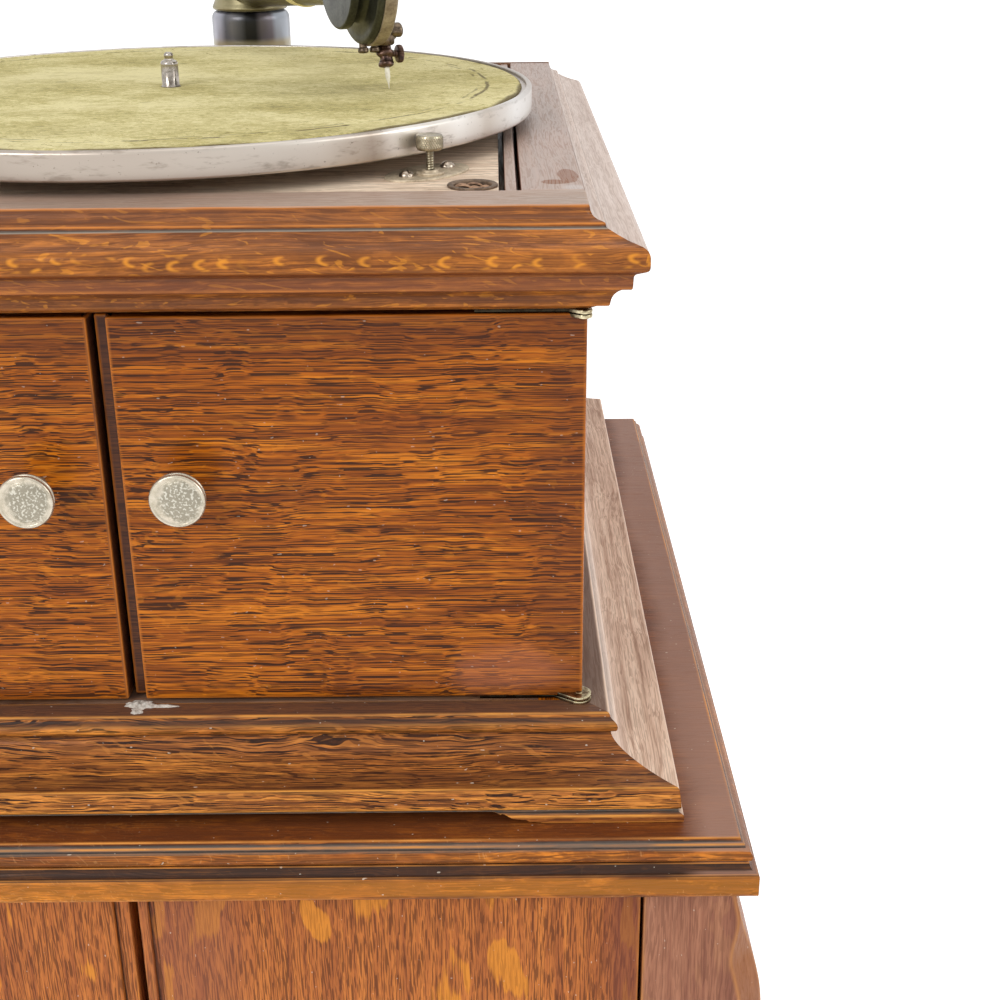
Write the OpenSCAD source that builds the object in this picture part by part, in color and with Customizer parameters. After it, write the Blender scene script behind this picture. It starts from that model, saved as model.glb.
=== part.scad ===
// Oak table gramophone with an internal horn, on its matching record cabinet.
// Millimetres. +Z up, the doors face -Y, origin on the floor at the centre of the outer box.

/* [Lower cabinet] */
// Height of the record cabinet, floor to top surface
lower_h = 740; // [660:5:820]
// How far the top board's edge stands out past the posts' tops
top_side = 5.7; // [3:0.1:12]
// How far the top board's edge stands in front of the lower doors
top_over = 14.5; // [12:0.5:20]
// Thickness of the top board
top_t = 19; // [18:0.5:24]
// How far the lower doors stand in front of the upper doors
door_step = 34.4; // [30:0.2:40]
// How far a post's inner edge stands outside the upper case's side
post_out = 21; // [16:0.5:30]
// Width of a front post at its top
post_w = 32; // [28:1:34]
// Depth of a post, front to back
post_d = 40; // [34:1:50]
// Outward swell of a post at its knee
knee_swell = 14.5; // [4:0.5:18]
// Height from the knee up to the top board's underside
knee_drop = 72; // [50:1:90]
// Width of a post at its ankle
ankle_w = 25; // [20:1:28]
// Width of a post at its foot
foot_w = 31; // [26:1:36]
// Largest chamfer on a post's outer front edge
post_chamfer = 9; // [3:0.5:12]
// Height of the bottom board's upper face above the floor
bottom_z = 116; // [100:1:160]
// Thickness of the bottom board
bottom_t = 16; // [12:1:20]
// Thickness of the shelf
shelf_t = 12; // [8:1:18]
// Height of the shelf's upper face above the floor
shelf_z = 440; // [380:5:480]
// Thickness of a cabinet side panel
panel_t = 8; // [6:0.5:12]
// Thickness of a record divider
divider_t = 5; // [3:0.5:8]
// Dividers in each tier
divider_n = 4; // [1:1:6]
// Height of the apron below the doors
apron_h = 56; // [40:1:70]
// Rise of the arch cut under the apron
apron_arch = 22; // [6:1:30]
// Thickness of a lower door
lower_door_t = 18; // [16:0.5:22]

/* [Upper case] */
// Height of the upper case, foot to frame top
upper_h = 211.2; // [205:0.2:230]
// Width over the case sides
case_w = 323; // [321:0.5:330]
// Depth from the upper doors' faces to the back
case_d = 364; // [363:0.5:380]
// Thickness of a case side
side_t = 16; // [12:0.5:18]
// Thickness of the case floor
floor_t = 12; // [8:1:15]
// Thickness of the back panels
back_t = 5; // [4:0.5:6]
// Projection of the cornice at its nose
cornice_p = 18.2; // [16:0.2:22]
// Height of the cornice
cornice_h = 34.5; // [33:0.5:38]
// Projection of the plinth at its lip
plinth_p = 34; // [30:0.5:38]
// Height of the plinth
plinth_h = 29.2; // [28:0.2:34]
// Where the broken plinth lip starts again, right of the middle
lip_break = 121; // [60:1:140]

/* [Upper doors] */
// Thickness of an upper door
door_t = 16; // [14:0.5:18]
// Clearance between the two doors
door_gap = 6.2; // [2:0.2:8]
// Overlap strip of the right door behind the gap
tongue_w = 4.6; // [2:0.2:5]
// Diameter of a door knob
knob_dia = 19.2; // [14:0.2:24]
// How far a knob stands out of its door
knob_proud = 18; // [13:0.2:20]
// Distance of a knob from the middle of the cabinet
knob_x = 25.2; // [18:0.1:40]
// Height of the upper knobs above the upper case's foot
knob_z = 116.4; // [80:0.1:130]
// Height of the lower knobs above the floor
lower_knob_z = 560; // [300:5:640]
// Thickness of a hinge leaf
leaf_t = 1.3; // [1:0.1:1.6]
// Radius of a hinge pin
hinge_pin_r = 1.5; // [1.2:0.1:1.8]
// Distance of an upper hinge pin from its door's outer edge
up_pin_in = 1.2; // [1:0.1:3]
// Distance of an upper hinge pin from its door's face
up_pin_back = 0.3; // [0.2:0.1:2.5]
// Distance of a lower hinge pin from its door's outer edge
pin_in = 2.4; // [2:0.1:3]
// Distance of a lower hinge pin from its door's face
pin_back = 1.5; // [1.2:0.1:2.5]

/* [Top frame and motor board] */
// Width of the front rail's top
rail_w = 23; // [20:1:26]
// Width of a side rail's top
side_rail_w = 21.3; // [19:0.1:23]
// Width of a bead strip
bead_w = 4; // [2:0.5:5]
// Groove beside the bead strip, rail side
groove_rail = 1.4; // [0.8:0.2:2]
// Groove beside the bead strip, board side
groove_board = 2.1; // [1:0.1:3]
// Depth of the motor board's top below the frame top
board_drop = 2; // [1:0.5:4]
// Thickness of the motor board
board_t = 12; // [10:1:14]
// Needle cup radius
cup_r = 7.4; // [6:0.2:8.4]
// Needle cup depth
cup_h = 10; // [6:0.5:11]

/* [Turntable] */
// Least distance from the turntable's rim in to the case's side
rim_side = 9.1; // [8:0.1:14]
// Distance of the turntable's rim behind the upper doors' faces
rim_front = 15.9; // [15:0.1:20]
// Clearance between the turntable's rim and the tone arm's bracket
rim_back = 1.3; // [0.8:0.1:4]
// Height of the turntable's rim
rim_h = 10.5; // [8:0.5:11]
// Thickness of the rim's wall
rim_t = 2.4; // [1.6:0.2:4]
// Thickness of the felt mat
felt_t = 1.7; // [1:0.1:3]
// Gap between the mat and the rim's outer edge
felt_inset = 4.4; // [3.6:0.2:6]
// Height of the rim's top above the frame top
rim_z = 15.3; // [14.5:0.1:16.5]
// Radius of the spindle above the turntable
spindle_r = 3.6; // [3.4:0.05:3.65]
// Height of the spindle's full part above the frame top
spindle_z = 25.9; // [20:0.1:30]
// Radius of the spindle's tip
tip_r = 1.9; // [1:0.1:2.6]
// Height of the spindle's tip
tip_h = 3.2; // [1:0.1:5]
// Spindle's place across the case, from the middle
spindle_x = -5.1; // [-6:0.1:0]

/* [Tone arm and sound box] */
// Bracket's place across the case, from the middle
bracket_x = 2.4; // [0:0.1:5]
// Distance from the bracket's axis to the case's back
bracket_back = 22; // [22:0.1:26]
// Radius of the bracket
bracket_r = 20; // [18:0.1:20.2]
// Height of the bracket above the frame top
bracket_h = 31; // [24:0.5:34]
// Height of the tone arm's axis above the frame top
arm_z = 52; // [52:0.5:58]
// Radius of the tone arm at its elbow
arm_r = 20; // [17:0.5:21]
// Radius of the tone arm at the gooseneck
neck_r = 7.5; // [6:0.5:8.5]
// Length of the tapered arm
arm_len = 150; // [148:1:152]
// Wall of the arm's tube
arm_wall = 2; // [1.2:0.1:3]
// Angle of the arm from straight forward at rest
arm_angle = 23.65; // [20:0.05:30]
// Distance from the bracket to the sound box's middle, along the arm
box_s = 204.3; // [202:0.1:207]
// Distance of the sound box's middle plane left of the arm's axis
box_n = 6.6; // [4:0.1:8]
// Height of the sound box's centre above the frame top
box_z = 62.1; // [62:0.1:70]
// Radius of the sound box
box_r = 29.4; // [26:0.1:31]
// Thickness of the sound box's housing
box_t = 12; // [10:0.5:12]
// Radius of the needle
needle_r = 0.7; // [0.5:0.05:1]

/* [Speed regulator] */
// Clearance between the regulator's knob and the turntable's rim
reg_gap = 1; // [0.6:0.1:4]
// Regulator's direction from the spindle
reg_at = -44.15; // [-48:0.05:-40]
// Radius of the regulator's knurled knob
reg_knob_r = 4.9; // [4:0.1:5]
// Height of the regulator's knob
reg_knob_h = 5.3; // [4:0.1:7]
// Height of the knob's underside above the frame top
reg_knob_z = 7.4; // [5:0.1:9]
// Radius of the regulator's stem
reg_stem_r = 1.4; // [1:0.1:1.8]
// Long axis of the oval plate
plate_len = 38; // [34:0.5:42]
// Short axis of the oval plate
plate_wid = 22; // [16:0.5:26]
// Distance between the plate's two screws
plate_pitch = 21.6; // [18:0.2:28]
// Radius of a round screw head
head_r = 2.35; // [2:0.05:3]

/* [Motor] */
// Depth of the motor frame under the motor board
motor_h = 81; // [81:0.5:83]
// Thickness of a motor frame plate
plate_t = 4; // [3:0.5:4.5]
// Tooth module of the barrel's gear
slow_m = 1.25; // [1.2:0.01:1.26]
// Tooth module of the spindle's pinion and wheels
fast_m = 1; // [0.96:0.01:1.02]
// Distance from the spindle to the barrel's axis
barrel_off = 62; // [61:0.5:64]
// Half length of the governor's shaft between its bearings
gov_end = 44; // [42:0.5:46]
// Radius of the governor's friction disc
gov_disc = 13; // [10:0.5:14]
// Radius of the mainspring barrel
barrel_r = 38; // [34:0.5:38.5]
// Height of the mainspring barrel
barrel_h = 34; // [28:0.5:34]
// Radius of the barrel's arbor
arbor_r = 4; // [3:0.1:4.5]
// Running clearance of a shaft in its bore
run = 0.05; // [0.03:0.01:0.1]
// Radius of the winding shaft
wind_r = 4; // [3:0.1:4.2]
// Radius of the crank socket's bore
socket_r = 4.2; // [3.4:0.1:4.6]

/* [Horn] */
// Half width of the mouth opening
mouth_x = 124; // [90:1:130]
// Wall of the horn's boards
horn_t = 5; // [3:0.5:7]
// Outer radius of the iron elbow
elbow_r = 16.4; // [14:0.1:16.4]
// Wall of the iron elbow
elbow_wall = 2.4; // [1.5:0.1:3.5]
// Radius of the elbow's bend
elbow_bend = 30; // [24:1:36]

/* [Hidden] */

$fn = 96;
eps = 0.01;
leaf_gap = 0.3;       // air between the fixed and the moving leaf
fit = 0.6;            // air behind a door, and round a drop-in board

// Main planes
y_back = (case_d + door_step + knob_proud) / 2;
y_door = y_back - case_d;
y_low = y_door - door_step;
z_foot = lower_h;
z_top = lower_h + upper_h;
z_under = lower_h - top_t;
half = case_w / 2;

// Lower cabinet
post_x = half + post_out;
top_w = 2 * (post_x + post_w + top_side);
panel_x = post_x + panel_t;
apron_t = lower_door_t + 1;
apron_top = bottom_z - 2;
low_door_z0 = apron_top + leaf_t + leaf_gap;
low_door_z1 = z_under - leaf_t - leaf_gap;
low_gap = 3;
low_leaf_r = 3.2;
low_door_x = post_x - 1.2;
knee_z = z_under - knee_drop;
ankle_z = 130;
foot_z = 26;
foot_toe = 4;
inside_y = y_low + lower_door_t + 4;

// Upper case
ledge_z = z_foot + plinth_h;
head_z = z_top - cornice_h;
door_z0 = ledge_z + leaf_t + leaf_gap;
door_z1 = head_z - leaf_t - leaf_gap;
up_leaf_r = 4.5;
leaf_len = 36;
inner_x = half - side_t;
rail_t = 20;
rail_x = half - side_rail_w;
bead_x = rail_x - groove_rail - bead_w;
board_x = bead_x - groove_board;
board_z1 = z_top - board_drop;
board_z0 = board_z1 - board_t;
shelf_lip = 3;        // width of the rails' ledge under the motor board
cup_x = board_x - cup_r - 1.6;
cup_y = y_door + rail_w + fit + cup_r + 8.6;

// Turntable
platter_r = min(half - rim_side, (case_d - rim_front - rim_back - bracket_r - bracket_back) / 2);
sx = spindle_x;
sy = y_door + rim_front + platter_r;
web_t = 2;
felt_z = z_top + rim_z - felt_t;
felt_r = platter_r - felt_inset;
reg_d = platter_r + reg_gap + reg_knob_r;
reg_x = sx + reg_d * cos(reg_at);
reg_y = sy + reg_d * sin(reg_at);
shaft_r = spindle_r + 0.4;
web_z = felt_z - web_t;

// Motor: levels below the motor board, and wheel centres about the spindle
m_top = board_z0;
m_low = board_z0 - motor_h;
worm_gap = 0.3;
pin_teeth = 12;
slow_teeth = 72;
fast_teeth = 60;
worm_teeth = 40;
wind_teeth = 24;
barrel_dx = -barrel_off;
mesh_slow = slow_m * (slow_teeth + pin_teeth) / 2;
mesh_fast = fast_m * (fast_teeth + pin_teeth) / 2;
mid_dx = (pow(barrel_dx, 2) + pow(mesh_fast, 2) - pow(mesh_slow, 2)) / (2 * barrel_dx);
mid_dy = sqrt(pow(mesh_fast, 2) - pow(mid_dx, 2));
// Turn of a wheel of n teeth that meets an unturned pinion lying in direction a
function mesh_turn(a, n) = a - (0.5 - (a + 180) * pin_teeth / 360) * 360 / n;
fast_z = m_top - 18;
slow_z = m_top - 28;
barrel_z1 = slow_z - 1;
barrel_z0 = barrel_z1 - barrel_h;
gov_z = m_top - 43;
gov_worm_r = 4.6;
worm_t = 6;
wind_worm_r = 5.9;
wind_z = barrel_z0 - wind_worm_r - 0.8;
wind_tip_r = slow_m * (wind_teeth / 2 + 0.9);
wind_dy = -(wind_tip_r + wind_worm_r + worm_gap);
gov_dx = fast_m * (worm_teeth / 2 + 0.9) + gov_worm_r + worm_gap;
lug_t = 4;

// Tone arm: along the arm (s), to its right (n) and up, about the bracket's centre
bx = bracket_x;
by = y_back - bracket_back;
swivel_gap = 0.4;
swivel_r = 13.9;
swivel_len = 12;
bend_r = 13;
neck_out = box_n + box_t / 2 + 6.4;
collar_len = 6;

// ---------- helpers ----------
function arc(c, rx, ry, a0, a1, n = 8) =
    [for (i = [0:n]) let (a = a0 + (a1 - a0) * i / n) [c[0] + rx * cos(a), c[1] + ry * sin(a)]];
function ease(t) = let (u = min(1, max(0, t))) u * u * (3 - 2 * u);
function unit(v) = v / norm(v);

module block(a, b) {
    translate(a) cube([b[0] - a[0], b[1] - a[1], b[2] - a[2]]);
}

// Profile (out, up) carried along X, facing -Y, its back on the plane y
module along_x(len, y, z) {
    translate([0, y, z]) rotate([90, 0, -90]) linear_extrude(len, center = true) children();
}

// Profile (out, up) carried along -Y from y, facing +X, its back on the plane x
module along_y(len, x, y, z) {
    translate([x, y, z]) rotate([90, 0, 0]) linear_extrude(len) children();
}

module both_sides() {
    children();
    mirror([1, 0, 0]) children();
}

// Rings of points, anticlockwise seen from the last ring, joined into one closed skin
module loft(rings) {
    n = len(rings[0]);
    m = len(rings);
    side = [for (i = [0:m - 2], j = [0:n - 1], k = [0, 1]) let (a = i * n + j, b = i * n + (j + 1) % n)
        k == 0 ? [a, a + n, b + n] : [a, b + n, b]];
    low = [[for (j = [0:n - 1]) j]];
    high = [[for (j = [n - 1:-1:0]) (m - 1) * n + j]];
    polyhedron([for (r = rings, p = r) p], concat(side, low, high), convexity = 4);
}

// ---------- lower cabinet ----------
// Outer edge of a post at height z: knee, ankle and foot joined by smooth curves
function post_edge(z) =
    z > knee_z ? post_x + post_w + knee_swell * (1 - ease((z - knee_z) / knee_drop)) :
    z > ankle_z ? post_x + ankle_w
        + (post_w + knee_swell - ankle_w) * ease((z - ankle_z) / (knee_z - ankle_z)) :
    z > foot_z ? post_x + foot_w - (foot_w - ankle_w) * ease((z - foot_z) / (ankle_z - foot_z)) :
    post_x + foot_w - foot_toe * (1 - sqrt(1 - pow(1 - z / foot_z, 2)));
function post_cut(z) = 0.8 + (post_chamfer - 0.8) * ease((z_under - 20 - z) / 26)
    * ease((z - foot_z) / 60);
post_zs = concat([for (i = [0:3]) foot_z * i / 4], [for (i = [0:9]) foot_z + (ankle_z - foot_z) * i / 10],
    [for (i = [0:17]) ankle_z + (knee_z - ankle_z) * i / 18], [for (i = [0:12]) knee_z + knee_drop * i / 12]);

module post(y0, y1, cut_y) {
    loft([for (z = post_zs) let (x = post_edge(z), c = post_cut(z))
        cut_y < 0
            ? [[post_x, y0, z], [x - c, y0, z], [x, y0 + c, z], [x, y1, z], [post_x, y1, z]]
            : [[post_x, y0, z], [x, y0, z], [x, y1 - c, z], [x - c, y1, z], [post_x, y1, z]]]);
}

module front_post() {
    difference() {
        post(y_low, y_low + post_d, -1);
        block([post_x - 1, inside_y, bottom_z - bottom_t], [panel_x, y_low + post_d + 1, z_under + 1]);
    }
}

module post_front_left() {
    color("#7a4a30") mirror([1, 0, 0]) front_post();
}

module post_front_right() {
    color("#7a4a30") front_post();
}

module rear_posts() {
    color("#7a4a30") both_sides() difference() {
        post(y_back - post_d, y_back, 1);
        block([post_x - 1, y_back - post_d - 1, bottom_z - bottom_t],
            [panel_x, y_back - back_t, z_under + 1]);
    }
}

// Panels stand in a rebate cut in both posts' inner corners
module side_panel() {
    block([post_x, inside_y, bottom_z - bottom_t], [panel_x, y_back - back_t, z_under]);
}

module side_panel_left() {
    color("#8a5228") mirror([1, 0, 0]) side_panel();
}

module side_panel_right() {
    color("#8a5228") side_panel();
}

module cabinet_back() {
    color("#7a4a28") block([-post_x, y_back - back_t, bottom_z - bottom_t], [post_x, y_back, z_under]);
}

module cabinet_bottom() {
    color("#7a4a28")
        block([-post_x, y_low + apron_t, bottom_z - bottom_t], [post_x, y_back - back_t, bottom_z]);
}

module cabinet_shelf() {
    color("#7a4a28") block([-post_x, inside_y, shelf_z - shelf_t], [post_x, y_back - back_t, shelf_z]);
}

module record_dividers() {
    step = 2 * post_x / (divider_n + 1);
    color("#8a5a34") for (i = [1:divider_n], tier = [[bottom_z, shelf_z - shelf_t], [shelf_z, z_under]])
        block([i * step - post_x - divider_t / 2, inside_y + 16, tier[0]],
            [i * step - post_x + divider_t / 2, y_back - back_t, tier[1]]);
}

module front_apron() {
    r = (pow(post_x - 24, 2) + pow(apron_arch, 2)) / (2 * apron_arch);
    color("#8a5228") difference() {
        block([-post_x, y_low, apron_top - apron_h], [post_x, y_low + apron_t, apron_top]);
        translate([0, y_low - 1, apron_top - apron_h + apron_arch - r]) rotate([-90, 0, 0])
            cylinder(h = apron_t + 2, r = r, $fn = 360);
    }
}

// Edge of the top board, 0 at its outer face and at its upper surface
top_edge = concat([[-6.2, 0], [-6, -1.2], [-4.8, -1.8], [-4.8, -3.1]],
    arc([-4.9, -5.6], 2.6, 2.5, 75, -75, 8), [[-3.2, -8.4], [-3.2, -9.2]],
    arc([-0.6, -9.2], 2.4, 2.6, 200, 270, 4), [[0, -12.4], [0, 0.6 - top_t], [-0.6, -top_t]]);

module cabinet_top() {
    depth = y_back - y_low + top_over;
    color("#7c4526") intersection() {
        translate([0, y_low - top_over, lower_h]) rotate([90, 0, -90])
            linear_extrude(top_w + 2, center = true)
                polygon(concat(top_edge, [[-depth, -top_t], [-depth, 0]]));
        translate([0, y_back + 1, lower_h]) rotate([90, 0, 0]) linear_extrude(depth + 2)
            polygon(concat([for (p = top_edge) [top_w / 2 + p[0], p[1]]],
                [for (i = [len(top_edge) - 1:-1:0]) [-top_w / 2 - top_edge[i][0], top_edge[i][1]]]));
    }
}

// ---------- hinges: straight pivot leaves let into the door's ends ----------
// Leaf in plan: its round end on the pin, its tail towards the middle of the cabinet, behind the
// face of the door, which is back before the pin
module leaf_plan(r, back) {
    front = 0.8 - back;
    circle(r);
    polygon([[-0.53 * r, -0.76 * r], [-2 * r, front], [-leaf_len, front], [-leaf_len, front + 6],
        [-2 * r, front + 6], [0.12 * r, 0.93 * r]]);
}

module door_leaf(r, back, z) {
    translate([0, 0, z]) linear_extrude(leaf_t) difference() {
        leaf_plan(r, back);
        circle(hinge_pin_r + run);
    }
}

// The two leaves of one door, in its ends at z0 and z1, about its pin
module door_leaves(r, back, z0, z1) {
    door_leaf(r, back, z0);
    door_leaf(r, back, z1 - leaf_t);
}

// Room for the leaves in a door
module leaf_room(r, back, z0, z1) {
    translate([0, 0, z0 - eps]) linear_extrude(leaf_t + eps) leaf_plan(r, back);
    translate([0, 0, z1 - leaf_t]) linear_extrude(leaf_t + eps) leaf_plan(r, back);
}

// Fixed leaves below and above a door, each with its pin, which ends inside the door's leaf
module case_leaves(r, back, z0, z1) {
    pin = leaf_gap + leaf_t - 0.1;
    translate([0, 0, z0 - leaf_gap - leaf_t]) linear_extrude(leaf_t) leaf_plan(r, back);
    translate([0, 0, z0 - leaf_gap - eps]) cylinder(h = pin + eps, r = hinge_pin_r, $fn = 48);
    translate([0, 0, z1 + leaf_gap]) linear_extrude(leaf_t) leaf_plan(r, back);
    translate([0, 0, z1 + leaf_gap - pin]) cylinder(h = pin + eps, r = hinge_pin_r, $fn = 48);
}

module at_upper_pin() {
    translate([half - up_pin_in, y_door + up_pin_back, 0]) children();
}

module at_lower_pin() {
    translate([low_door_x - pin_in, y_low + pin_back, 0]) children();
}

module upper_leaves_right() {
    color("#b9b3a0") at_upper_pin() door_leaves(up_leaf_r, up_pin_back, door_z0, door_z1);
}

module upper_leaves_left() {
    color("#b9b3a0") mirror([1, 0, 0]) at_upper_pin()
        door_leaves(up_leaf_r, up_pin_back, door_z0, door_z1);
}

module lower_leaves_right() {
    color("#b9b3a0") at_lower_pin() door_leaves(low_leaf_r, pin_back, low_door_z0, low_door_z1);
}

module lower_leaves_left() {
    color("#b9b3a0") mirror([1, 0, 0]) at_lower_pin()
        door_leaves(low_leaf_r, pin_back, low_door_z0, low_door_z1);
}

module fixed_leaves() {
    color("#a8a290") both_sides() {
        at_upper_pin() case_leaves(up_leaf_r, up_pin_back, door_z0, door_z1);
        at_lower_pin() case_leaves(low_leaf_r, pin_back, low_door_z0, low_door_z1);
    }
}

// ---------- doors and knobs ----------
stud_r = 2.5;
stud_len = 9;

module knob(x, y, z) {
    r = knob_dia / 2;
    p = knob_proud;
    translate([x, y, z]) rotate([90, 0, 0]) rotate_extrude()
        polygon(concat([[0, -stud_len], [stud_r, -stud_len], [stud_r, p * 0.5], [r * 0.34, p * 0.68],
            [r * 0.5, p * 0.78], [r * 0.9, p * 0.84]],
            arc([r - 1.2, p * 0.9], 1.2, 1.2, -40, 50, 5),
            arc([0, p * 0.88], r * 0.94, p * 0.12, 38, 90, 10)));
}

module stud_hole(x, y, z) {
    translate([x, y - 1, z]) rotate([-90, 0, 0]) cylinder(h = stud_len + 1.2, r = stud_r + run, $fn = 48);
}

module upper_door(tongue) {
    difference() {
        union() {
            block([door_gap / 2, y_door, door_z0], [half, y_door + door_t, door_z1]);
            if (tongue) block([door_gap / 2 - tongue_w, y_door + door_t * 0.75, door_z0],
                [door_gap / 2 + 1, y_door + door_t, door_z1]);
        }
        at_upper_pin() leaf_room(up_leaf_r, up_pin_back, door_z0, door_z1);
        stud_hole(knob_x, y_door, z_foot + knob_z);
    }
}

module upper_door_right() {
    color("#9a5a26") upper_door(true);
}

module upper_door_left() {
    color("#9a5a26") mirror([1, 0, 0]) upper_door(false);
}

// Bead run along a lower door's edges: a narrow groove beside the edge
bead_in = 5;
bead_groove = 2.4;

module lower_door() {
    difference() {
        block([low_gap / 2, y_low, low_door_z0], [low_door_x, y_low + lower_door_t, low_door_z1]);
        block([bead_in, y_low - 1, low_door_z0 - 1], [bead_in + bead_groove, y_low + 2, low_door_z1 + 1]);
        at_lower_pin() leaf_room(low_leaf_r, pin_back, low_door_z0, low_door_z1);
        stud_hole(knob_x, y_low, lower_knob_z);
    }
}

module lower_door_right() {
    color("#8a5a2c") lower_door();
}

module lower_door_left() {
    color("#8a5a2c") mirror([1, 0, 0]) lower_door();
}

module upper_knob_right() {
    color("#c9c7bc") knob(knob_x, y_door, z_foot + knob_z);
}

module upper_knob_left() {
    color("#c9c7bc") knob(-knob_x, y_door, z_foot + knob_z);
}

module lower_knob_right() {
    color("#c9c7bc") knob(knob_x, y_low, lower_knob_z);
}

module lower_knob_left() {
    color("#c9c7bc") knob(-knob_x, y_low, lower_knob_z);
}

// ---------- upper case ----------
// Plinth, up from its foot: lip, band, cove, bead and ledge
plinth_in = plinth_p - 24.2;
plinth_low = [[0, 0], [plinth_p, 0], [plinth_p, 3], [plinth_p - 2, 3.4]];
plinth_high = concat([[plinth_p - 2, 4.6], [plinth_p - 0.8, 5.1], [plinth_p - 1.7, 12.2], [plinth_p - 2, 13]],
    arc([plinth_p - 2, plinth_h - 7.1], 22.2, plinth_h - 20.1, 270, 180, 12),
    arc([plinth_in, plinth_h - 4.6], 2.4, 2.5, 270, 400, 6), [[plinth_in, plinth_h - 1.9],
    [plinth_in - 0.6, plinth_h], [0, plinth_h]]);
plinth_whole = concat(plinth_low, plinth_high);
// Where the lip is broken off, the band ends on a ragged step
plinth_broken = concat([[0, 0], [plinth_p - 9, 0], [plinth_p - 9, 3.6], [plinth_p - 2, 3.6]], plinth_high);

// Plan of the front moulding's mitred room, and of the right one's
module mitre_front(p, h) {
    linear_extrude(h) polygon([[-half - p, y_door - p], [half + p, y_door - p], [half, y_door],
        [-half, y_door]]);
}

module mitre_side(p, h) {
    linear_extrude(h) polygon([[half, y_door], [half + p, y_door - p], [half + p, y_back], [half, y_back]]);
}

module plinth_front() {
    slope = 13;
    color("#7c4224") intersection() {
        translate([0, 0, z_foot]) mitre_front(plinth_p + 1, plinth_h);
        union() {
            along_x(case_w + 2 * plinth_p + 2, y_door, z_foot) polygon(plinth_broken);
            difference() {
                along_x(case_w + 2 * plinth_p + 2, y_door, z_foot) polygon(plinth_whole);
                translate([0, y_door + 1, z_foot]) rotate([90, 0, 0]) linear_extrude(plinth_p + 4)
                    polygon([[-lip_break / 2, 4], [-lip_break / 2 - slope, -0.5],
                        [lip_break + slope, -0.5], [lip_break, 4]]);
            }
        }
    }
}

module plinth_sides() {
    color("#7c4224") both_sides() intersection() {
        translate([0, 0, z_foot]) mitre_side(plinth_p + 1, plinth_h);
        along_y(case_d + plinth_p + 1, half, y_back, z_foot) polygon(plinth_whole);
    }
}

// Cornice, down from the frame top: ogee, long slope, nose, fillet, cove and foot
cornice = concat([[0, 0], [0.3, -1.8]], arc([4.1, -1.8], 3.6, 2.7, 190, 265, 5),
    [[5, -4.9], [5, -6.2], [8.4, -7.8], [11.8, -9.1]],
    arc([cornice_p - 3, -13.4], 3, 3.4, 80, 0, 5), [[cornice_p, -16.2]],
    arc([cornice_p - 1.6, -16.2], 1.6, 1.8, 0, -70, 3), [[cornice_p - 4.2, -19.4], [cornice_p - 4.7, -20.2],
    [cornice_p - 4.9, -24.3], [cornice_p - 5.5, -24.8]],
    arc([cornice_p - 5.5, -31.4], 6, 6.6, 90, 178, 6),
    [[6.3, -31.9], [3.6, -32.3], [0, -cornice_h]]);

module cornice_front() {
    color("#8a4c24") intersection() {
        translate([0, 0, head_z]) mitre_front(cornice_p + 1, cornice_h);
        along_x(case_w + 2 * cornice_p + 2, y_door, z_top) polygon(cornice);
    }
}

module cornice_sides() {
    color("#8a4c24") both_sides() intersection() {
        translate([0, 0, head_z]) mitre_side(cornice_p + 1, cornice_h);
        along_y(case_d + cornice_p + 1, half, y_back, z_top) polygon(cornice);
    }
}

// Side board seen from the side: full height behind, cut back for the door in front
module case_side() {
    translate([inner_x, 0, 0]) rotate([90, 0, 90]) linear_extrude(side_t)
        polygon([[y_door, z_foot], [y_back, z_foot], [y_back, z_top - rail_t],
            [y_door + rail_w, z_top - rail_t], [y_door + rail_w, head_z], [y_door + door_t + fit, head_z],
            [y_door + door_t + fit, ledge_z], [y_door, ledge_z]]);
}

wind_y = sy + wind_dy;

module case_side_right() {
    color("#9a5a26") difference() {
        case_side();
        translate([inner_x - 1, wind_y, wind_z]) rotate([0, 90, 0])
            cylinder(h = side_t + 2, r = wind_r + 2.6 + run);
    }
}

module case_side_left() {
    color("#9a5a26") mirror([1, 0, 0]) case_side();
}

module case_floor() {
    color("#7a4a28") block([-inner_x, y_door, ledge_z - floor_t], [inner_x, y_back - back_t, ledge_z]);
}

module case_back() {
    color("#7a4a28") translate([0, y_back, 0]) rotate([90, 0, 0]) linear_extrude(back_t) {
        translate([-inner_x, ledge_z - floor_t]) square([2 * inner_x, z_top - rail_t - ledge_z + floor_t]);
        translate([-half, z_top - rail_t]) square([case_w, rail_t]);
    }
}

module frame_front_rail() {
    color("#8a5a40") {
        block([-half, y_door, head_z], [half, y_door + rail_w, z_top]);
        block([-rail_x, y_door + rail_w - eps, z_top - rail_t],
            [rail_x, y_door + rail_w + shelf_lip + 4, board_z0]);
    }
}

module frame_side_rails() {
    color("#8a5a40") both_sides() {
        block([rail_x, y_door + rail_w, z_top - rail_t], [half, y_back - back_t, z_top]);
        block([board_x - shelf_lip, y_door + rail_w + shelf_lip + 4, z_top - rail_t],
            [rail_x + eps, y_back - back_t, board_z0]);
    }
}

module bead_strips() {
    color("#8a5a40") both_sides()
        block([bead_x, y_door + rail_w, board_z0], [bead_x + bead_w, y_back - back_t, z_top - 0.5]);
}

module motor_board() {
    color("#8d7461") difference() {
        block([-board_x, y_door + rail_w + fit, board_z0], [board_x, y_back - back_t - fit, board_z1]);
        translate([sx, sy, board_z0 - 1]) cylinder(h = board_t + 2, r = shaft_r + 2.4);
        translate([reg_x, reg_y, board_z0 - 1]) cylinder(h = board_t + 2, r = reg_stem_r + 0.8);
        translate([bx, by, board_z0 - 1]) cylinder(h = board_t + 2, r = elbow_r + 0.1);
        translate([cup_x, cup_y, board_z1 - cup_h - 0.6]) cylinder(h = cup_h + 2, r = cup_r + 0.1);
    }
}

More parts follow.
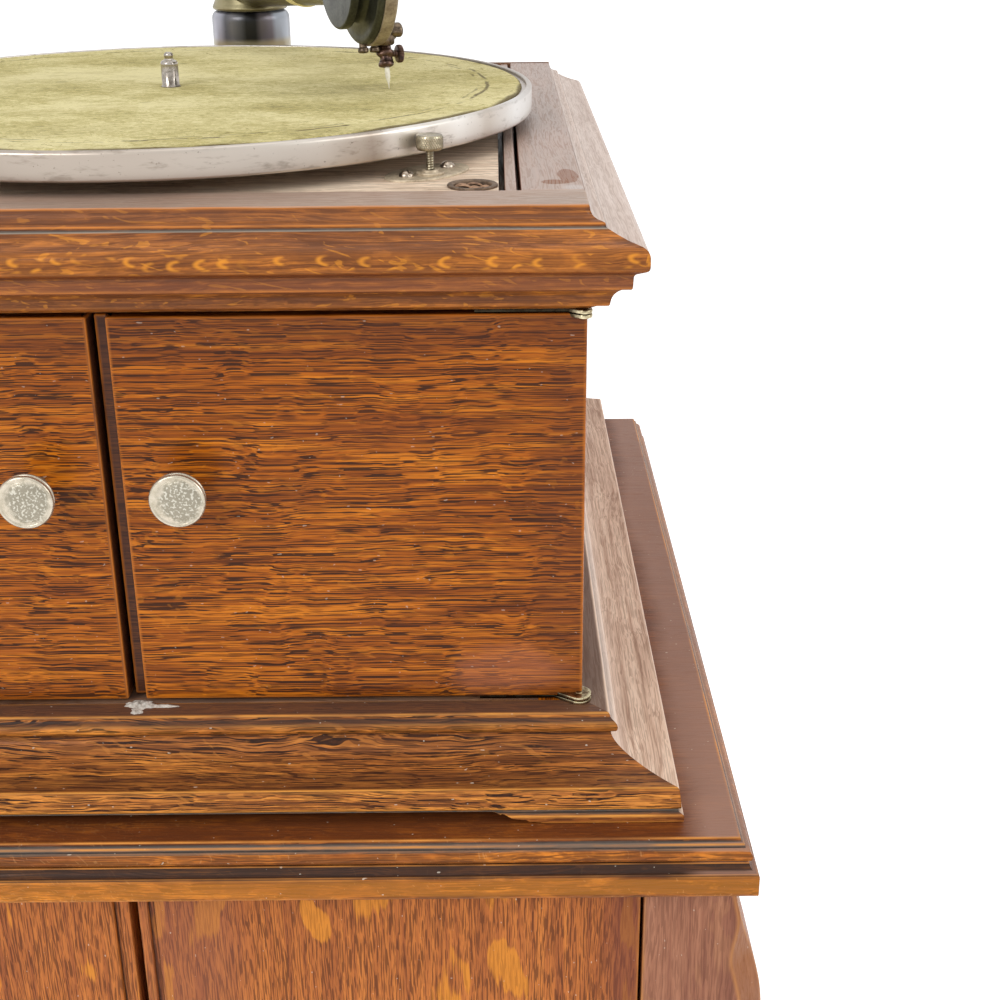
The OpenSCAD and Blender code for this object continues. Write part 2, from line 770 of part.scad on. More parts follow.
// ---------- horn ----------
mouth_z0 = ledge_z + 9;
mouth_z1 = head_z - 24;
horn_y0 = y_door + door_t + fit + 9;
horn_y1 = y_door + 70;
horn_y2 = by - elbow_bend - 8;
horn_top1 = m_low - 4;
elbow_z = m_low - 30;

module mouth_board() {
    color("#6a3a20") difference() {
        block([-inner_x, y_door + door_t + fit, ledge_z], [inner_x, horn_y0, head_z]);
        block([-mouth_x, y_door, mouth_z0], [mouth_x, horn_y0 + 1, mouth_z1]);
    }
}

// Box section of the horn: half width, floor and ceiling at depth y
module horn_slice(x, y, z0, z1) {
    block([-x, y, z0], [x, y + eps, z1]);
}

module horn_body() {
    t = horn_t;
    x0 = mouth_x + t;
    x2 = elbow_r + 12;
    color("#5c3520") difference() {
        union() {
            hull() {
                horn_slice(x0, horn_y0, ledge_z, mouth_z1 + t);
                horn_slice(x0 - 10, horn_y1, ledge_z, horn_top1);
            }
            hull() {
                horn_slice(x0 - 10, horn_y1, ledge_z, horn_top1);
                horn_slice(x2, horn_y2, ledge_z, horn_top1 - 3);
            }
        }
        hull() {
            horn_slice(mouth_x, horn_y0 - 1, mouth_z0, mouth_z1);
            horn_slice(mouth_x - 10, horn_y1, ledge_z + t, horn_top1 - t);
        }
        hull() {
            horn_slice(mouth_x - 10, horn_y1 - eps, ledge_z + t, horn_top1 - t);
            horn_slice(x2 - t, horn_y2 - t, ledge_z + t, horn_top1 - t - 3);
        }
        translate([bx, horn_y2 - 20, elbow_z]) rotate([-90, 0, 0]) cylinder(h = 30, r = elbow_r + run);
    }
}

module horn_elbow() {
    ri = elbow_r - elbow_wall;
    color("#3c3a38") translate([bx, by, 0]) {
        translate([0, 0, elbow_z + elbow_bend]) difference() {
            cylinder(h = board_z1 - elbow_z - elbow_bend, r = elbow_r);
            translate([0, 0, -1]) cylinder(h = board_z1 - elbow_z - elbow_bend + 2, r = ri);
        }
        translate([0, -elbow_bend, elbow_z + elbow_bend]) rotate([0, 90, 0]) rotate_extrude(angle = 90)
            translate([elbow_bend, 0]) difference() {
                circle(elbow_r);
                circle(ri);
            }
        translate([0, -elbow_bend + eps, elbow_z]) rotate([90, 0, 0]) difference() {
            cylinder(h = 12, r = elbow_r);
            translate([0, 0, -1]) cylinder(h = 14, r = ri);
        }
    }
}

// ---------- turntable ----------
module platter() {
    color("#c4c4c2") translate([sx, sy, z_top]) rotate_extrude($fn = 200)
        polygon([[shaft_r + run, rim_z - felt_t - web_t - 7], [14, rim_z - felt_t - web_t - 7],
            [16, rim_z - felt_t - web_t], [platter_r - rim_t, rim_z - felt_t - web_t],
            [platter_r - rim_t, rim_z - rim_h], [platter_r, rim_z - rim_h], [platter_r, rim_z - 0.6],
            [platter_r - 0.6, rim_z], [platter_r - rim_t, rim_z], [platter_r - rim_t - 0.2, rim_z - felt_t],
            [shaft_r + run, rim_z - felt_t]]);
}

module felt_mat() {
    color("#b3a865") translate([sx, sy, felt_z]) difference() {
        cylinder(h = felt_t, r = felt_r, $fn = 200);
        translate([0, 0, -1]) cylinder(h = felt_t + 2, r = shaft_r + 0.3);
    }
}

// Toothed wheel: straight-flanked teeth that leave a working clearance
module wheel(m, teeth, t, turn = 0) {
    p = 360 / teeth;
    r = m * teeth / 2;
    rotate(turn) linear_extrude(t) polygon([for (i = [0:teeth - 1], q = [[-0.32, -1.25], [-0.2, 0.05],
        [-0.09, 0.8], [0.09, 0.8], [0.2, 0.05], [0.32, -1.25]])
        let (a = (i + q[0]) * p, d = r + q[1] * m) [d * cos(a), d * sin(a)]]);
}

module spindle() {
    seat = rim_z - felt_t - web_t - 7;
    color("#b8b8b4") translate([sx, sy, 0]) {
        translate([0, 0, m_low + 1]) cylinder(h = z_top + rim_z - m_low - 1, r = shaft_r);
        translate([0, 0, z_top + rim_z - eps]) cylinder(h = spindle_z - rim_z + eps, r = spindle_r);
        translate([0, 0, z_top + spindle_z - eps]) cylinder(h = tip_h, r1 = tip_r + 0.5, r2 = tip_r);
        translate([0, 0, z_top + seat - 2]) cylinder(h = 2, r = shaft_r + 3);
        translate([0, 0, fast_z - 2]) wheel(fast_m, pin_teeth, 7);
        translate([0, 0, gov_z - worm_t / 2]) wheel(fast_m, worm_teeth, worm_t);
    }
}

// ---------- spring motor ----------
lug_z = wind_z + wind_worm_r + 2;

module lug(x0, x1, y0, y1, z0, z1) {
    translate([sx, sy, 0]) block([x0, y0, z0], [x1, y1, z1]);
}

module bore_z(x, y, r) {
    translate([sx + x, sy + y, m_low - 1]) cylinder(h = motor_h + 2, r = r + run);
}

motor_x0 = barrel_dx - slow_m * (slow_teeth / 2 + 0.8);
motor_x1 = gov_dx + 2 * gov_disc;
motor_y1 = gov_end + 2 * lug_t;
motor_y0 = -motor_y1;
wind_x0 = barrel_dx - barrel_r - 2;

module motor_frame() {
    corners = [[motor_x0 + 8, motor_y0 + 8], [motor_x0 + 8, motor_y1 - 8], [motor_x1 - 6, motor_y0 + 6],
        [motor_x1 - 6, motor_y1 - 6]];
    color("#4a4a48") difference() {
        union() {
            lug(motor_x0, motor_x1, motor_y0, motor_y1, m_top - plate_t, m_top);
            lug(motor_x0, motor_x1, motor_y0, motor_y1, m_low, m_low + plate_t);
            for (c = corners) translate([sx + c[0], sy + c[1], m_low + 1]) cylinder(h = motor_h - 2, r = 4);
            for (y = [-gov_end - lug_t, gov_end])
                lug(gov_dx - 5, gov_dx + 5, y, y + lug_t, gov_z - 6, m_top - 1);
            for (x = [wind_x0, gov_dx + 16])
                lug(x, x + lug_t, wind_dy - 7, wind_dy + 7, m_low + 1, lug_z);
        }
        bore_z(0, 0, shaft_r);
        bore_z(barrel_dx, 0, arbor_r);
        bore_z(mid_dx, mid_dy, 2.5);
        translate([sx + gov_dx, sy + gov_end + lug_t + 1, gov_z]) rotate([90, 0, 0])
            cylinder(h = 2 * gov_end + 2 * lug_t + 2, r = 1.6 + run);
        translate([sx + motor_x0 - 1, wind_y, wind_z]) rotate([0, 90, 0])
            cylinder(h = motor_x1 - motor_x0 + 2, r = wind_r + run);
    }
}

module spring_barrel() {
    color("#9a8a52") translate([sx + barrel_dx, sy, 0]) difference() {
        union() {
            translate([0, 0, barrel_z0]) cylinder(h = barrel_h, r = barrel_r);
            translate([0, 0, barrel_z1 - eps]) cylinder(h = slow_z - barrel_z1 + 2 * eps, r = barrel_r - 4);
            translate([0, 0, slow_z])
                wheel(slow_m, slow_teeth, 4, mesh_turn(atan2(mid_dy, mid_dx - barrel_dx), slow_teeth));
        }
        translate([0, 0, barrel_z0 + 2]) cylinder(h = barrel_h - 4, r = barrel_r - 2);
        translate([0, 0, barrel_z0 - 1]) cylinder(h = barrel_h + 12, r = arbor_r + run);
    }
}

// Flat spring wound from the arbor's hub out to the barrel's wall
module mainspring() {
    turns = 6;
    n = turns * 20;
    r0 = arbor_r + 3.3;
    r1 = barrel_r - 2.2;
    tape = 0.9;
    function spot(i, d) = let (a = 360 * turns * i / n, r = r0 + (r1 - tape - r0) * i / n + d)
        [r * cos(a), r * sin(a)];
    color("#6a6f78") translate([sx + barrel_dx, sy, barrel_z0 + 4]) linear_extrude(barrel_h - 8)
        polygon(concat([for (i = [0:n]) spot(i, 0)], [for (i = [n:-1:0]) spot(i, tape)]));
}

module barrel_arbor() {
    color("#8c8c88") translate([sx + barrel_dx, sy, 0]) {
        translate([0, 0, m_low + 1]) cylinder(h = motor_h - 2, r = arbor_r);
        translate([0, 0, barrel_z0 + 3]) cylinder(h = barrel_h - 6, r = arbor_r + 3);
        translate([0, 0, wind_z - 3]) wheel(slow_m, wind_teeth, 6);
    }
}

module intermediate_wheel() {
    color("#a8905a") translate([sx + mid_dx, sy + mid_dy, 0]) {
        translate([0, 0, m_low + 1]) cylinder(h = motor_h - 2, r = 2.5);
        translate([0, 0, slow_z - 2]) wheel(slow_m, pin_teeth, 8);
        translate([0, 0, fast_z])
            wheel(fast_m, fast_teeth, 3, mesh_turn(atan2(-mid_dy, -mid_dx), fast_teeth));
    }
}

// Governor on a shaft along Y: worm, two collars with three weighted leaf springs, friction disc
module governor() {
    ball_y = 30;
    color("#b09858") translate([sx + gov_dx, sy, gov_z]) rotate([90, 0, 0]) {
        translate([0, 0, -gov_end - lug_t + 0.5]) cylinder(h = 2 * gov_end + 2 * lug_t - 1, r = 1.6);
        translate([0, 0, -9]) cylinder(h = 18, r = gov_worm_r);
        translate([0, 0, -ball_y - 10]) cylinder(h = 4, r = 5);
        translate([0, 0, -ball_y + 6]) cylinder(h = 4, r = 5);
        translate([0, 0, 26]) cylinder(h = 2, r = gov_disc);
        for (a = [0:120:240]) rotate(a) {
            translate([4, -1.5, -ball_y - 10]) cube([1, 3, 20]);
            translate([8, 0, -ball_y]) sphere(4.4, $fn = 32);
        }
    }
}

// Winding shaft, escutcheon and crank socket, along X to the right-hand side
module winding_gear() {
    x0 = wind_x0 + 0.5;
    end_x = half + 1.5;
    color("#8c8c88") translate([0, wind_y, wind_z]) rotate([0, 90, 0]) difference() {
        union() {
            translate([0, 0, sx + x0]) cylinder(h = end_x - sx - x0, r = wind_r);
            translate([0, 0, sx + barrel_dx - 12]) cylinder(h = 24, r = wind_worm_r);
            translate([0, 0, inner_x - 4]) cylinder(h = end_x - inner_x + 4, r = wind_r + 2.6);
        }
        translate([0, 0, end_x - 14]) cylinder(h = 15, r = socket_r);
    }
}

// ---------- tone arm ----------
// Moves a shape from arm space, where X runs along the arm and Y across it, to its place
module on_arm() {
    translate([bx, by, z_top]) rotate(arm_angle - 90) children();
}

module tonearm_bracket() {
    color("#a9acae") translate([bx, by, 0]) difference() {
        union() {
            translate([0, 0, board_z1]) cylinder(h = board_drop + 0.4, r = elbow_r);
            translate([0, 0, z_top + 0.2]) cylinder(h = bracket_h - 0.2, r = bracket_r - 0.8);
            translate([0, 0, z_top + 0.2]) cylinder(h = 3, r = bracket_r);
            translate([0, 0, z_top + bracket_h - 4]) cylinder(h = 4, r = bracket_r);
        }
        translate([0, 0, board_z1 - 1]) cylinder(h = bracket_h + 4, r = swivel_r + run);
    }
}

function gooseneck(t) = t < 0.62
    ? let (u = t / 0.62, e = ease(u)) [arm_len + (box_s - bend_r - arm_len) * u,
        -(neck_out + bend_r) * e, arm_z + (box_z - arm_z) * e]
    : let (a = 90 * (t - 0.62) / 0.38)
        [box_s - bend_r + bend_r * sin(a), -neck_out - bend_r * cos(a), box_z];

// Round tube of radius r along the gooseneck, run on by over at both ends
module neck_tube(r, over) {
    n = 26;
    sides = 16;
    loft([for (i = [0:n]) let (t = i / n,
        p = gooseneck(t) + (i == 0 ? [-over, 0, 0] : i == n ? [0, over, 0] : [0, 0, 0]),
        d = i == 0 ? [1, 0, 0] : i == n ? [0, 1, 0] : unit(gooseneck(t + 0.01) - gooseneck(t - 0.01)),
        w = unit(cross([0, 0, 1], d)), v = cross(d, w))
        [for (j = [0:sides - 1]) let (a = 360 * j / sides) p + r * cos(a) * w + r * sin(a) * v]]);
}

module tonearm() {
    foot = bracket_h + swivel_gap;
    color("#8f8768") on_arm() difference() {
        union() {
            translate([0, 0, foot - swivel_len]) cylinder(h = swivel_len + 1, r = swivel_r);
            translate([0, 0, foot]) cylinder(h = arm_z - foot, r = arm_r - 0.6);
            translate([0, 0, arm_z]) sphere(arm_r - 0.4);
            translate([4, 0, arm_z]) rotate([0, 90, 0])
                cylinder(h = arm_len - 4, r1 = arm_r - 0.6, r2 = neck_r);
            neck_tube(neck_r, 0.5);
            translate([box_s, -neck_out - eps, box_z]) rotate([-90, 0, 0])
                cylinder(h = collar_len, r = neck_r);
        }
        translate([0, 0, foot - swivel_len - 1]) cylinder(h = swivel_len + 6, r = swivel_r - arm_wall);
        translate([0, 0, foot + 2]) cylinder(h = arm_z - foot, r = arm_r - arm_wall - 2);
        translate([0, 0, arm_z]) sphere(arm_r - arm_wall - 0.6);
        translate([4, 0, arm_z]) rotate([0, 90, 0])
            cylinder(h = arm_len - 3.9, r1 = arm_r - arm_wall - 1, r2 = neck_r - arm_wall);
        neck_tube(neck_r - arm_wall, 0.8);
        translate([box_s, -neck_out - 1, box_z]) rotate([-90, 0, 0])
            cylinder(h = collar_len + 2, r = neck_r - arm_wall);
    }
}

// Sound box about its own centre: X along the arm, Y out of its face, Z up
module on_box() {
    on_arm() translate([box_s, -box_n, box_z]) children();
}

module soundbox() {
    h = box_t / 2;
    r = box_r;
    collar_r = neck_r + 3;
    flange_r = r * 0.76;
    body_r = r * 0.67;
    color("#5f6257") on_box() rotate([-90, 0, 0]) rotate_extrude()
        polygon([[neck_r + run, -h - 6.2], [collar_r, -h - 6.2], [collar_r, -h - 5],
            [flange_r - 1, -h - 5], [flange_r, -h - 4], [flange_r, -h - 2.2], [flange_r - 1, -h - 1.2],
            [body_r, -h - 1.2], [body_r, -h + 3.6], [r - 3, -h + 3.6], [r - 0.8, -h + 5],
            [r - 0.8, -h + 6.5], [r, -h + 6.8], [r, h - 1], [r - 1, h], [r - 4, h], [r - 5, h - 2],
            [r - 5, h - 3], [0, h - 3], [0, -h + 2], [neck_r + run, -h + 2]]);
}

needle_lean = -14;
chuck_z = 30.9 - box_z;
chuck_out = box_t / 2 + 3.2;
chuck_r = 3;
grip_r = 1.1;

// Stylus bar: from the diaphragm's middle down over the rim to the needle's chuck
module needle_bar() {
    h = box_t / 2;
    color("#7a6a54") on_box() difference() {
        union() {
            translate([-1.5, h - 3, -1.5]) cube([3, 4.4, 3]);
            translate([-1.2, h + 0.3, chuck_z]) cube([2.4, 1.6, 1.5 - chuck_z]);
            translate([-5, h, -box_r + 1]) cube([10, 3, 4]);
            translate([0, chuck_out, chuck_z]) rotate([0, needle_lean, 0]) translate([0, 0, -6])
                cylinder(h = 11, r = chuck_r);
        }
        translate([0, chuck_out, chuck_z]) rotate([0, needle_lean, 0]) translate([0, 0, -7])
            cylinder(h = 9, r = needle_r + 0.05, $fn = 32);
        translate([0, chuck_out, chuck_z - 2]) rotate([-90, 0, 0])
            cylinder(h = chuck_r + 1, r = grip_r + run, $fn = 32);
    }
}

module needle_screw() {
    color("#8c8478") on_box() translate([0, chuck_out, chuck_z - 2]) rotate([-90, 0, 0]) {
        translate([0, 0, needle_r + 0.15]) cylinder(h = chuck_r + 2, r = grip_r, $fn = 32);
        translate([0, 0, chuck_r + 1.2]) cylinder(h = 3, r = 3.4);
    }
}

module needle() {
    reach = (chuck_z + box_z - rim_z - 0.2) / cos(needle_lean);
    color("#d8d8d4") on_box() translate([0, chuck_out, chuck_z]) rotate([0, needle_lean, 0]) {
        translate([0, 0, -reach + 2.4]) cylinder(h = reach - 2.4 + 1.8, r = needle_r, $fn = 32);
        translate([0, 0, -reach]) cylinder(h = 2.41, r1 = 0.12, r2 = needle_r, $fn = 32);
    }
}

// ---------- fittings on the motor board ----------
plate_turn = 49.7;
plate_mx = reg_x - 1.3;
plate_my = reg_y + 4.5;

module regulator_plate() {
    color("#a7a18e") difference() {
        union() {
            translate([plate_mx, plate_my, board_z1]) rotate(plate_turn) linear_extrude(0.8)
                polygon(arc([0, 0], plate_len / 2, plate_wid / 2, 0, 350, 35));
            translate([reg_x, reg_y, board_z1]) cylinder(h = 1.8, r = reg_knob_r + 0.2);
        }
        translate([reg_x, reg_y, board_z1 - 1]) cylinder(h = 4, r = reg_stem_r + run);
        for (k = [-1, 1]) translate([plate_mx, plate_my, board_z1 - 1]) rotate(plate_turn)
            translate([k * plate_pitch / 2, 0, 0]) cylinder(h = 3, r = 1.2, $fn = 32);
    }
}

module regulator_knob() {
    color("#a8a490") translate([reg_x, reg_y, 0]) {
        translate([0, 0, board_z0 - 8]) cylinder(h = z_top + reg_knob_z - board_z0 + 8.1, r = reg_stem_r);
        translate([0, 0, z_top + reg_knob_z]) cylinder(h = reg_knob_h, r = reg_knob_r);
    }
}

// Round-head screw seated at z, its shank going down
module screw(x, y, z, shank) {
    translate([x, y, z]) rotate_extrude($fn = 48)
        polygon(concat([[0, -shank], [1.1, -shank], [1.1, 0], [head_r, 0]],
            arc([0, 0], head_r, 1.9, 0, 90, 8)));
}

module round_head_screws() {
    color("#9c968a") for (k = [-1, 1])
        screw(plate_mx + k * plate_pitch / 2 * cos(plate_turn),
            plate_my + k * plate_pitch / 2 * sin(plate_turn), board_z1 + 0.8, 0.7);
}

module needle_cup() {
    r = cup_r;
    color("#8f8c86") translate([cup_x, cup_y, board_z1]) rotate_extrude()
        polygon(concat([[0, -cup_h], [r - 3, -cup_h]], arc([r - 3, 3 - cup_h], 3, 3, 270, 360, 5),
            [[r, 0], [r + 1.4, 0], [r + 1.4, 0.5], [r + 0.6, 0.9], [r - 0.8, 0.5]],
            arc([r - 3.6, 3.6 - cup_h], 2.8, 2.8, 360, 270, 5),
            [[0, 0.8 - cup_h]]));
}

// Brake: a lever on a post beside the rim, its pad against the rim's outside
brake_in = 7.9;       // distance of the post's axis from the motor board's edge
brake_d = platter_r + 12.6;
brake_x = brake_in - board_x;
brake_at = 180 + acos((sx - brake_x) / brake_d);
brake_y = sy + brake_d * sin(brake_at);
pad_turn = 9;

pad_d = platter_r + 0.4;
arm_at = brake_at + pad_turn;

module brake_lever() {
    color("#9a9c9c") {
        translate([brake_x, brake_y, board_z1]) cylinder(h = z_top - board_z1 + 9, r = 3);
        translate([0, 0, z_top + 5]) linear_extrude(3) {
            hull() {
                translate([brake_x, brake_y]) circle(5);
                translate([sx + (pad_d + 5) * cos(arm_at), sy + (pad_d + 5) * sin(arm_at)]) circle(3);
            }
            hull() {
                translate([brake_x, brake_y]) circle(4);
                translate([brake_x - 7, brake_y - 30]) circle(3);
            }
        }
        translate([sx, sy, z_top + 5]) rotate(arm_at) translate([pad_d, -5, 0]) cube([4, 10, 7]);
    }
}

post_front_left();
post_front_right();
rear_posts();
side_panel_left();
side_panel_right();
cabinet_back();
cabinet_bottom();
cabinet_shelf();
record_dividers();
front_apron();
cabinet_top();
lower_door_left();
lower_door_right();
lower_knob_left();
lower_knob_right();
lower_leaves_left();
lower_leaves_right();
plinth_front();
plinth_sides();
case_side_left();
case_side_right();
case_floor();
case_back();
cornice_front();
cornice_sides();
frame_front_rail();
frame_side_rails();
bead_strips();
motor_board();
mouth_board();
horn_body();
horn_elbow();
upper_door_left();
upper_door_right();
upper_knob_left();
upper_knob_right();
upper_leaves_left();
upper_leaves_right();
fixed_leaves();
platter();
felt_mat();
spindle();
tonearm_bracket();
tonearm();
soundbox();
needle_bar();
needle_screw();
needle();
regulator_plate();
regulator_knob();
round_head_screws();
needle_cup();
brake_lever();
motor_frame();
spring_barrel();
mainspring();
barrel_arbor();
intermediate_wheel();
governor();
winding_gear();
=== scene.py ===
"""Looks of the oak table gramophone on its record cabinet: worn, varnished quarter-sawn oak,
plated metal and a felted turntable. Lengths below are millimetres until a piece is made."""
import math
import bpy
import numpy as np
from mathutils import Matrix


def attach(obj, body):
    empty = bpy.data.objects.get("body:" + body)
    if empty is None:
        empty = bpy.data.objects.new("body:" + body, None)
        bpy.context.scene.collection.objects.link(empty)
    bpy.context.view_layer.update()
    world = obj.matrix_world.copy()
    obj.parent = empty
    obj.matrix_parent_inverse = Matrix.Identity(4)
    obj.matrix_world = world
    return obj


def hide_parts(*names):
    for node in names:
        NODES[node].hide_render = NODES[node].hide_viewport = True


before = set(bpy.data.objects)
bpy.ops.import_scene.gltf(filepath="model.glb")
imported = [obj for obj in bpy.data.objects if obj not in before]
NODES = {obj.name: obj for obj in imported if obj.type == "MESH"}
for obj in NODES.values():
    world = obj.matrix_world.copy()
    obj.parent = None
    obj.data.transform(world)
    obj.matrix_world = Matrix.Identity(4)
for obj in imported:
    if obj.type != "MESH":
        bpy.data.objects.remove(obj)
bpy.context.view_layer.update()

# Planes and widths of the woodwork, as in the part's source
HALF, INNER_X, POST_X, POST_W, POST_D = 161.5, 145.5, 182.5, 32.0, 40.0
Y_BACK, Y_DOOR, Y_LOW = 208.2, -155.8, -190.2
Z_FOOT, LEDGE, HEAD, Z_TOP, Z_UNDER = 740.0, 769.2, 916.7, 951.2, 721.0
BOARD_TOP, BOARD_UNDER = 949.2, 937.2
UP_CLEAR, GAP_EDGE = 1.6, 3.1                       # upper doors: room above and below, edge at the gap
UP_THICK, LOW_THICK, TONGUE = 16, 18, 4.6           # doors' thickness, and the strip behind the gap
LOW_END, LOW_FOOT, LOW_HEAD = 181.3, 115.6, 719.4   # lower doors' outer edge, foot and head
KNOB_X, UP_KNOB_Z, LOW_KNOB_Z = 25.2, 856.4, 560.0
KNEE_Z, CALF_Z, TOE_Z = 649, 130, 26                # heights at which a post's curves meet
CREASE, FELT_UP = 133.8, 15.3                       # the felt's crease radius; its top above the frame's
SPINDLE = (-5.1, 12.5)
BRACKET = (2.4, 186.2)
ARM_TURN = math.radians(23.65)
ALONG = np.array([math.sin(ARM_TURN), -math.cos(ARM_TURN), 0.0])
ACROSS = np.array([math.cos(ARM_TURN), math.sin(ARM_TURN), 0.0])


# ---------------------------------------------------------------- numbers
def arc(cx, cy, rx, ry, a0, a1, n=8):
    """Points on an ellipse about (cx, cy) with radii rx and ry, n steps from angle a0 to a1."""
    a = np.radians(np.linspace(a0, a1, n + 1))
    return np.stack([cx + rx * np.cos(a), cy + ry * np.sin(a)], -1).tolist()


def around(n):
    """n angles in equal steps round a full turn."""
    return np.arange(n) * 2 * math.pi / n


def ease(t):
    """Goes smoothly from 0 to 1: three t squared less two t cubed."""
    t = np.clip(t, 0, 1)
    return t * t * (3 - 2 * t)


def drift(u, v, seed=0.0, octaves=3):
    """Smooth random heights of two arrays: random numbers at whole steps, eased between them,
    and summed over octaves of twice the pitch and half the height."""
    u, v = np.broadcast_arrays(np.asarray(u, float), np.asarray(v, float))
    total = np.zeros(u.shape)
    for o in range(octaves):
        a, b = u * 2 ** o, v * 2 ** o
        i, j = np.floor(a), np.floor(b)
        fa, fb = ease(a - i), ease(b - j)
        pick = lambda p, q: np.modf(np.abs(np.sin(p * 127.1 + q * 311.7 + seed * 74.7 + o * 19.3))
                                    * 43758.5453)[0]
        low = pick(i, j) * (1 - fa) + pick(i + 1, j) * fa
        high = pick(i, j + 1) * (1 - fa) + pick(i + 1, j + 1) * fa
        total += (low * (1 - fb) + high * fb - 0.5) / 2 ** o
    return total


# ---------------------------------------------------------------- surfaces
def quads(n, m, close_n=False, close_m=False):
    """Corner numbers of the quads of an n by m grid, run on round where it closes."""
    i = np.arange(n if close_n else n - 1)
    j = np.arange(m if close_m else m - 1)
    i, j = np.meshgrid(i, j, indexing="ij")
    a, b = i * m + j, (i + 1) % n * m + j
    c, d = (i + 1) % n * m + (j + 1) % m, i * m + (j + 1) % m
    return np.stack([a, b, c, d], -1).reshape(-1, 4)


def lofted(rings, marks=None):
    """Closed rings (k, m, 3) joined in a row into one skin, with a flat face over each end."""
    k, m, _ = rings.shape
    faces = [quads(k, m, close_m=True), np.arange(m)[None, ::-1], np.arange(m)[None] + (k - 1) * m]
    return rings.reshape(-1, 3), faces, None if marks is None else np.asarray(marks).reshape(-1)


def spun(profile, steps=96, wobble=None):
    """Profile (radius, height) turned round the upright axis: x = r cos a, y = r sin a. Where it
    starts and ends on the axis it closes in a pole, and elsewhere it closes on itself.
    wobble(a, h, r) gives what is added to the radius."""
    p = np.asarray(profile, float)
    a = around(steps)
    poles = p[0, 0] < 1e-6
    q = p[1:-1] if poles else p
    r = q[:, None, 0] + np.zeros((1, steps))
    h = q[:, None, 1] + np.zeros((1, steps))
    if wobble is not None:
        r = r + wobble(a[None], h, r)
    pts = np.stack([r * np.cos(a), r * np.sin(a), h], -1).reshape(-1, 3)
    k = len(q)
    faces = [quads(k, steps, close_n=not poles, close_m=True)]
    if poles:
        pts = np.vstack([pts, [[0, 0, p[0, 1]], [0, 0, p[-1, 1]]]])
        j = np.arange(steps)
        fan = np.stack([j, (j + 1) % steps, np.full(steps, k * steps)], -1)
        top = np.stack([(k - 1) * steps + (j + 1) % steps, (k - 1) * steps + j,
                        np.full(steps, k * steps + 1)], -1)
        faces += [fan, top]
    return pts, faces, None


def soft_loop(poly, radius, n=3):
    """Closed outline (..., k, 2) with each corner cut by a short curve, a point of no mark beside
    each cut, and a number for each point: up to 1 on an outward corner, down to -1 in an inward
    one, by how sharply the outline turns there."""
    p = np.asarray(poly, float)
    back, on = np.roll(p, 1, -2) - p, np.roll(p, -1, -2) - p
    lb, lo = np.linalg.norm(back, axis=-1, keepdims=True), np.linalg.norm(on, axis=-1, keepdims=True)
    back, on = back / lb, on / lo
    near_b, near_o = np.minimum(radius, lb * 0.4), np.minimum(radius, lo * 0.4)
    a, b = p + back * near_b, p + on * near_o
    t = np.linspace(0, 1, n)[:, None]
    bend = (1 - t) ** 2 * a[..., None, :] + 2 * t * (1 - t) * p[..., None, :] + t ** 2 * b[..., None, :]
    first = p + back * np.minimum(near_b + 0.5, lb * 0.47)
    last = p + on * np.minimum(near_o + 0.5, lo * 0.47)
    loop = np.concatenate([first[..., None, :], bend, last[..., None, :]], -2)
    turn = -back[..., 0] * on[..., 1] + back[..., 1] * on[..., 0]
    straight = -(back * on).sum(-1)
    turn = np.arctan2(turn, straight) / math.radians(70)
    weight = np.concatenate([[0.0], 0.35 + 0.65 * np.sin(np.linspace(0, math.pi, n)), [0.0]])
    mark = np.clip(turn, -1, 1)[..., None] * weight
    shape = p.shape[:-2] + (-1,)
    return loop.reshape(shape + (2,)), mark.reshape(shape)


def anticlockwise(poly):
    """The outline without doubled points, in the order that leaves its inside on the left, by the
    sign of its area."""
    p = np.asarray(poly, float)
    p = p[np.linalg.norm(p - np.roll(p, 1, 0), axis=1) > 0.05]
    q = np.roll(p, -1, 0)
    return p if (p[:, 0] * q[:, 1] - q[:, 0] * p[:, 1]).sum() > 0 else p[::-1]


def outward(loop):
    """Unit normals of an anticlockwise closed outline, from its neighbouring points."""
    d = np.roll(loop, -1, -2) - np.roll(loop, 1, -2)
    n = np.stack([d[..., 1], -d[..., 0]], -1)
    return n / np.maximum(np.linalg.norm(n, axis=-1, keepdims=True), 1e-9)


AXES = {"X": (1, 2, 0), "Y": (2, 0, 1), "Z": (0, 1, 2)}


def carried(poly, lo, hi, axis="Z", radius=0.8, end=0.8, steps=0):
    """Outline carried straight along an axis from lo to hi, its corners softened, and its ends
    rounded over: each end ring is drawn in by end (1 - cos t) while it is end (1 - sin t) short.
    The outline's two numbers are the next two axes in turn."""
    loop, mark = soft_loop(anticlockwise(poly), radius)
    n = outward(loop)
    t = np.radians([90, 60, 30, 0])
    inset = np.concatenate([[end + 1.2], end * (1 - np.cos(t[::-1]))[::-1]])
    run = np.concatenate([[0], end * (1 - np.sin(t))])
    edge = np.array([0.0, 0.4, 1.0, 1.0, 0.4])
    inner = np.linspace(lo + end + 0.6, hi - end - 0.6, steps + 2)
    s = np.concatenate([lo + run, inner, (hi - run)[::-1]])
    inset = np.concatenate([inset, np.zeros(len(inner)), inset[::-1]])
    edge = np.concatenate([edge, np.zeros(len(inner)), edge[::-1]])
    rings = loop[None] - n[None] * inset[:, None, None]
    marks = np.where(edge[:, None] > np.abs(mark)[None], edge[:, None], mark[None])
    marks[0] = marks[-1] = 0
    out = np.zeros(rings.shape[:2] + (3,))
    first, second, third = AXES[axis]
    out[..., first], out[..., second], out[..., third] = rings[..., 0], rings[..., 1], s[:, None]
    return lofted(out, marks)


def facing_out(pts, faces):
    """The faces, turned over if the volume that they close, summed over fans of each, is negative."""
    total = 0.0
    for group in faces:
        for i in range(1, group.shape[1] - 1):
            a, b, c = pts[group[:, 0]], pts[group[:, i]], pts[group[:, i + 1]]
            total += np.einsum("ij,ij->", a, np.cross(b, c))
    return [group[:, ::-1] for group in faces] if total < 0 else faces


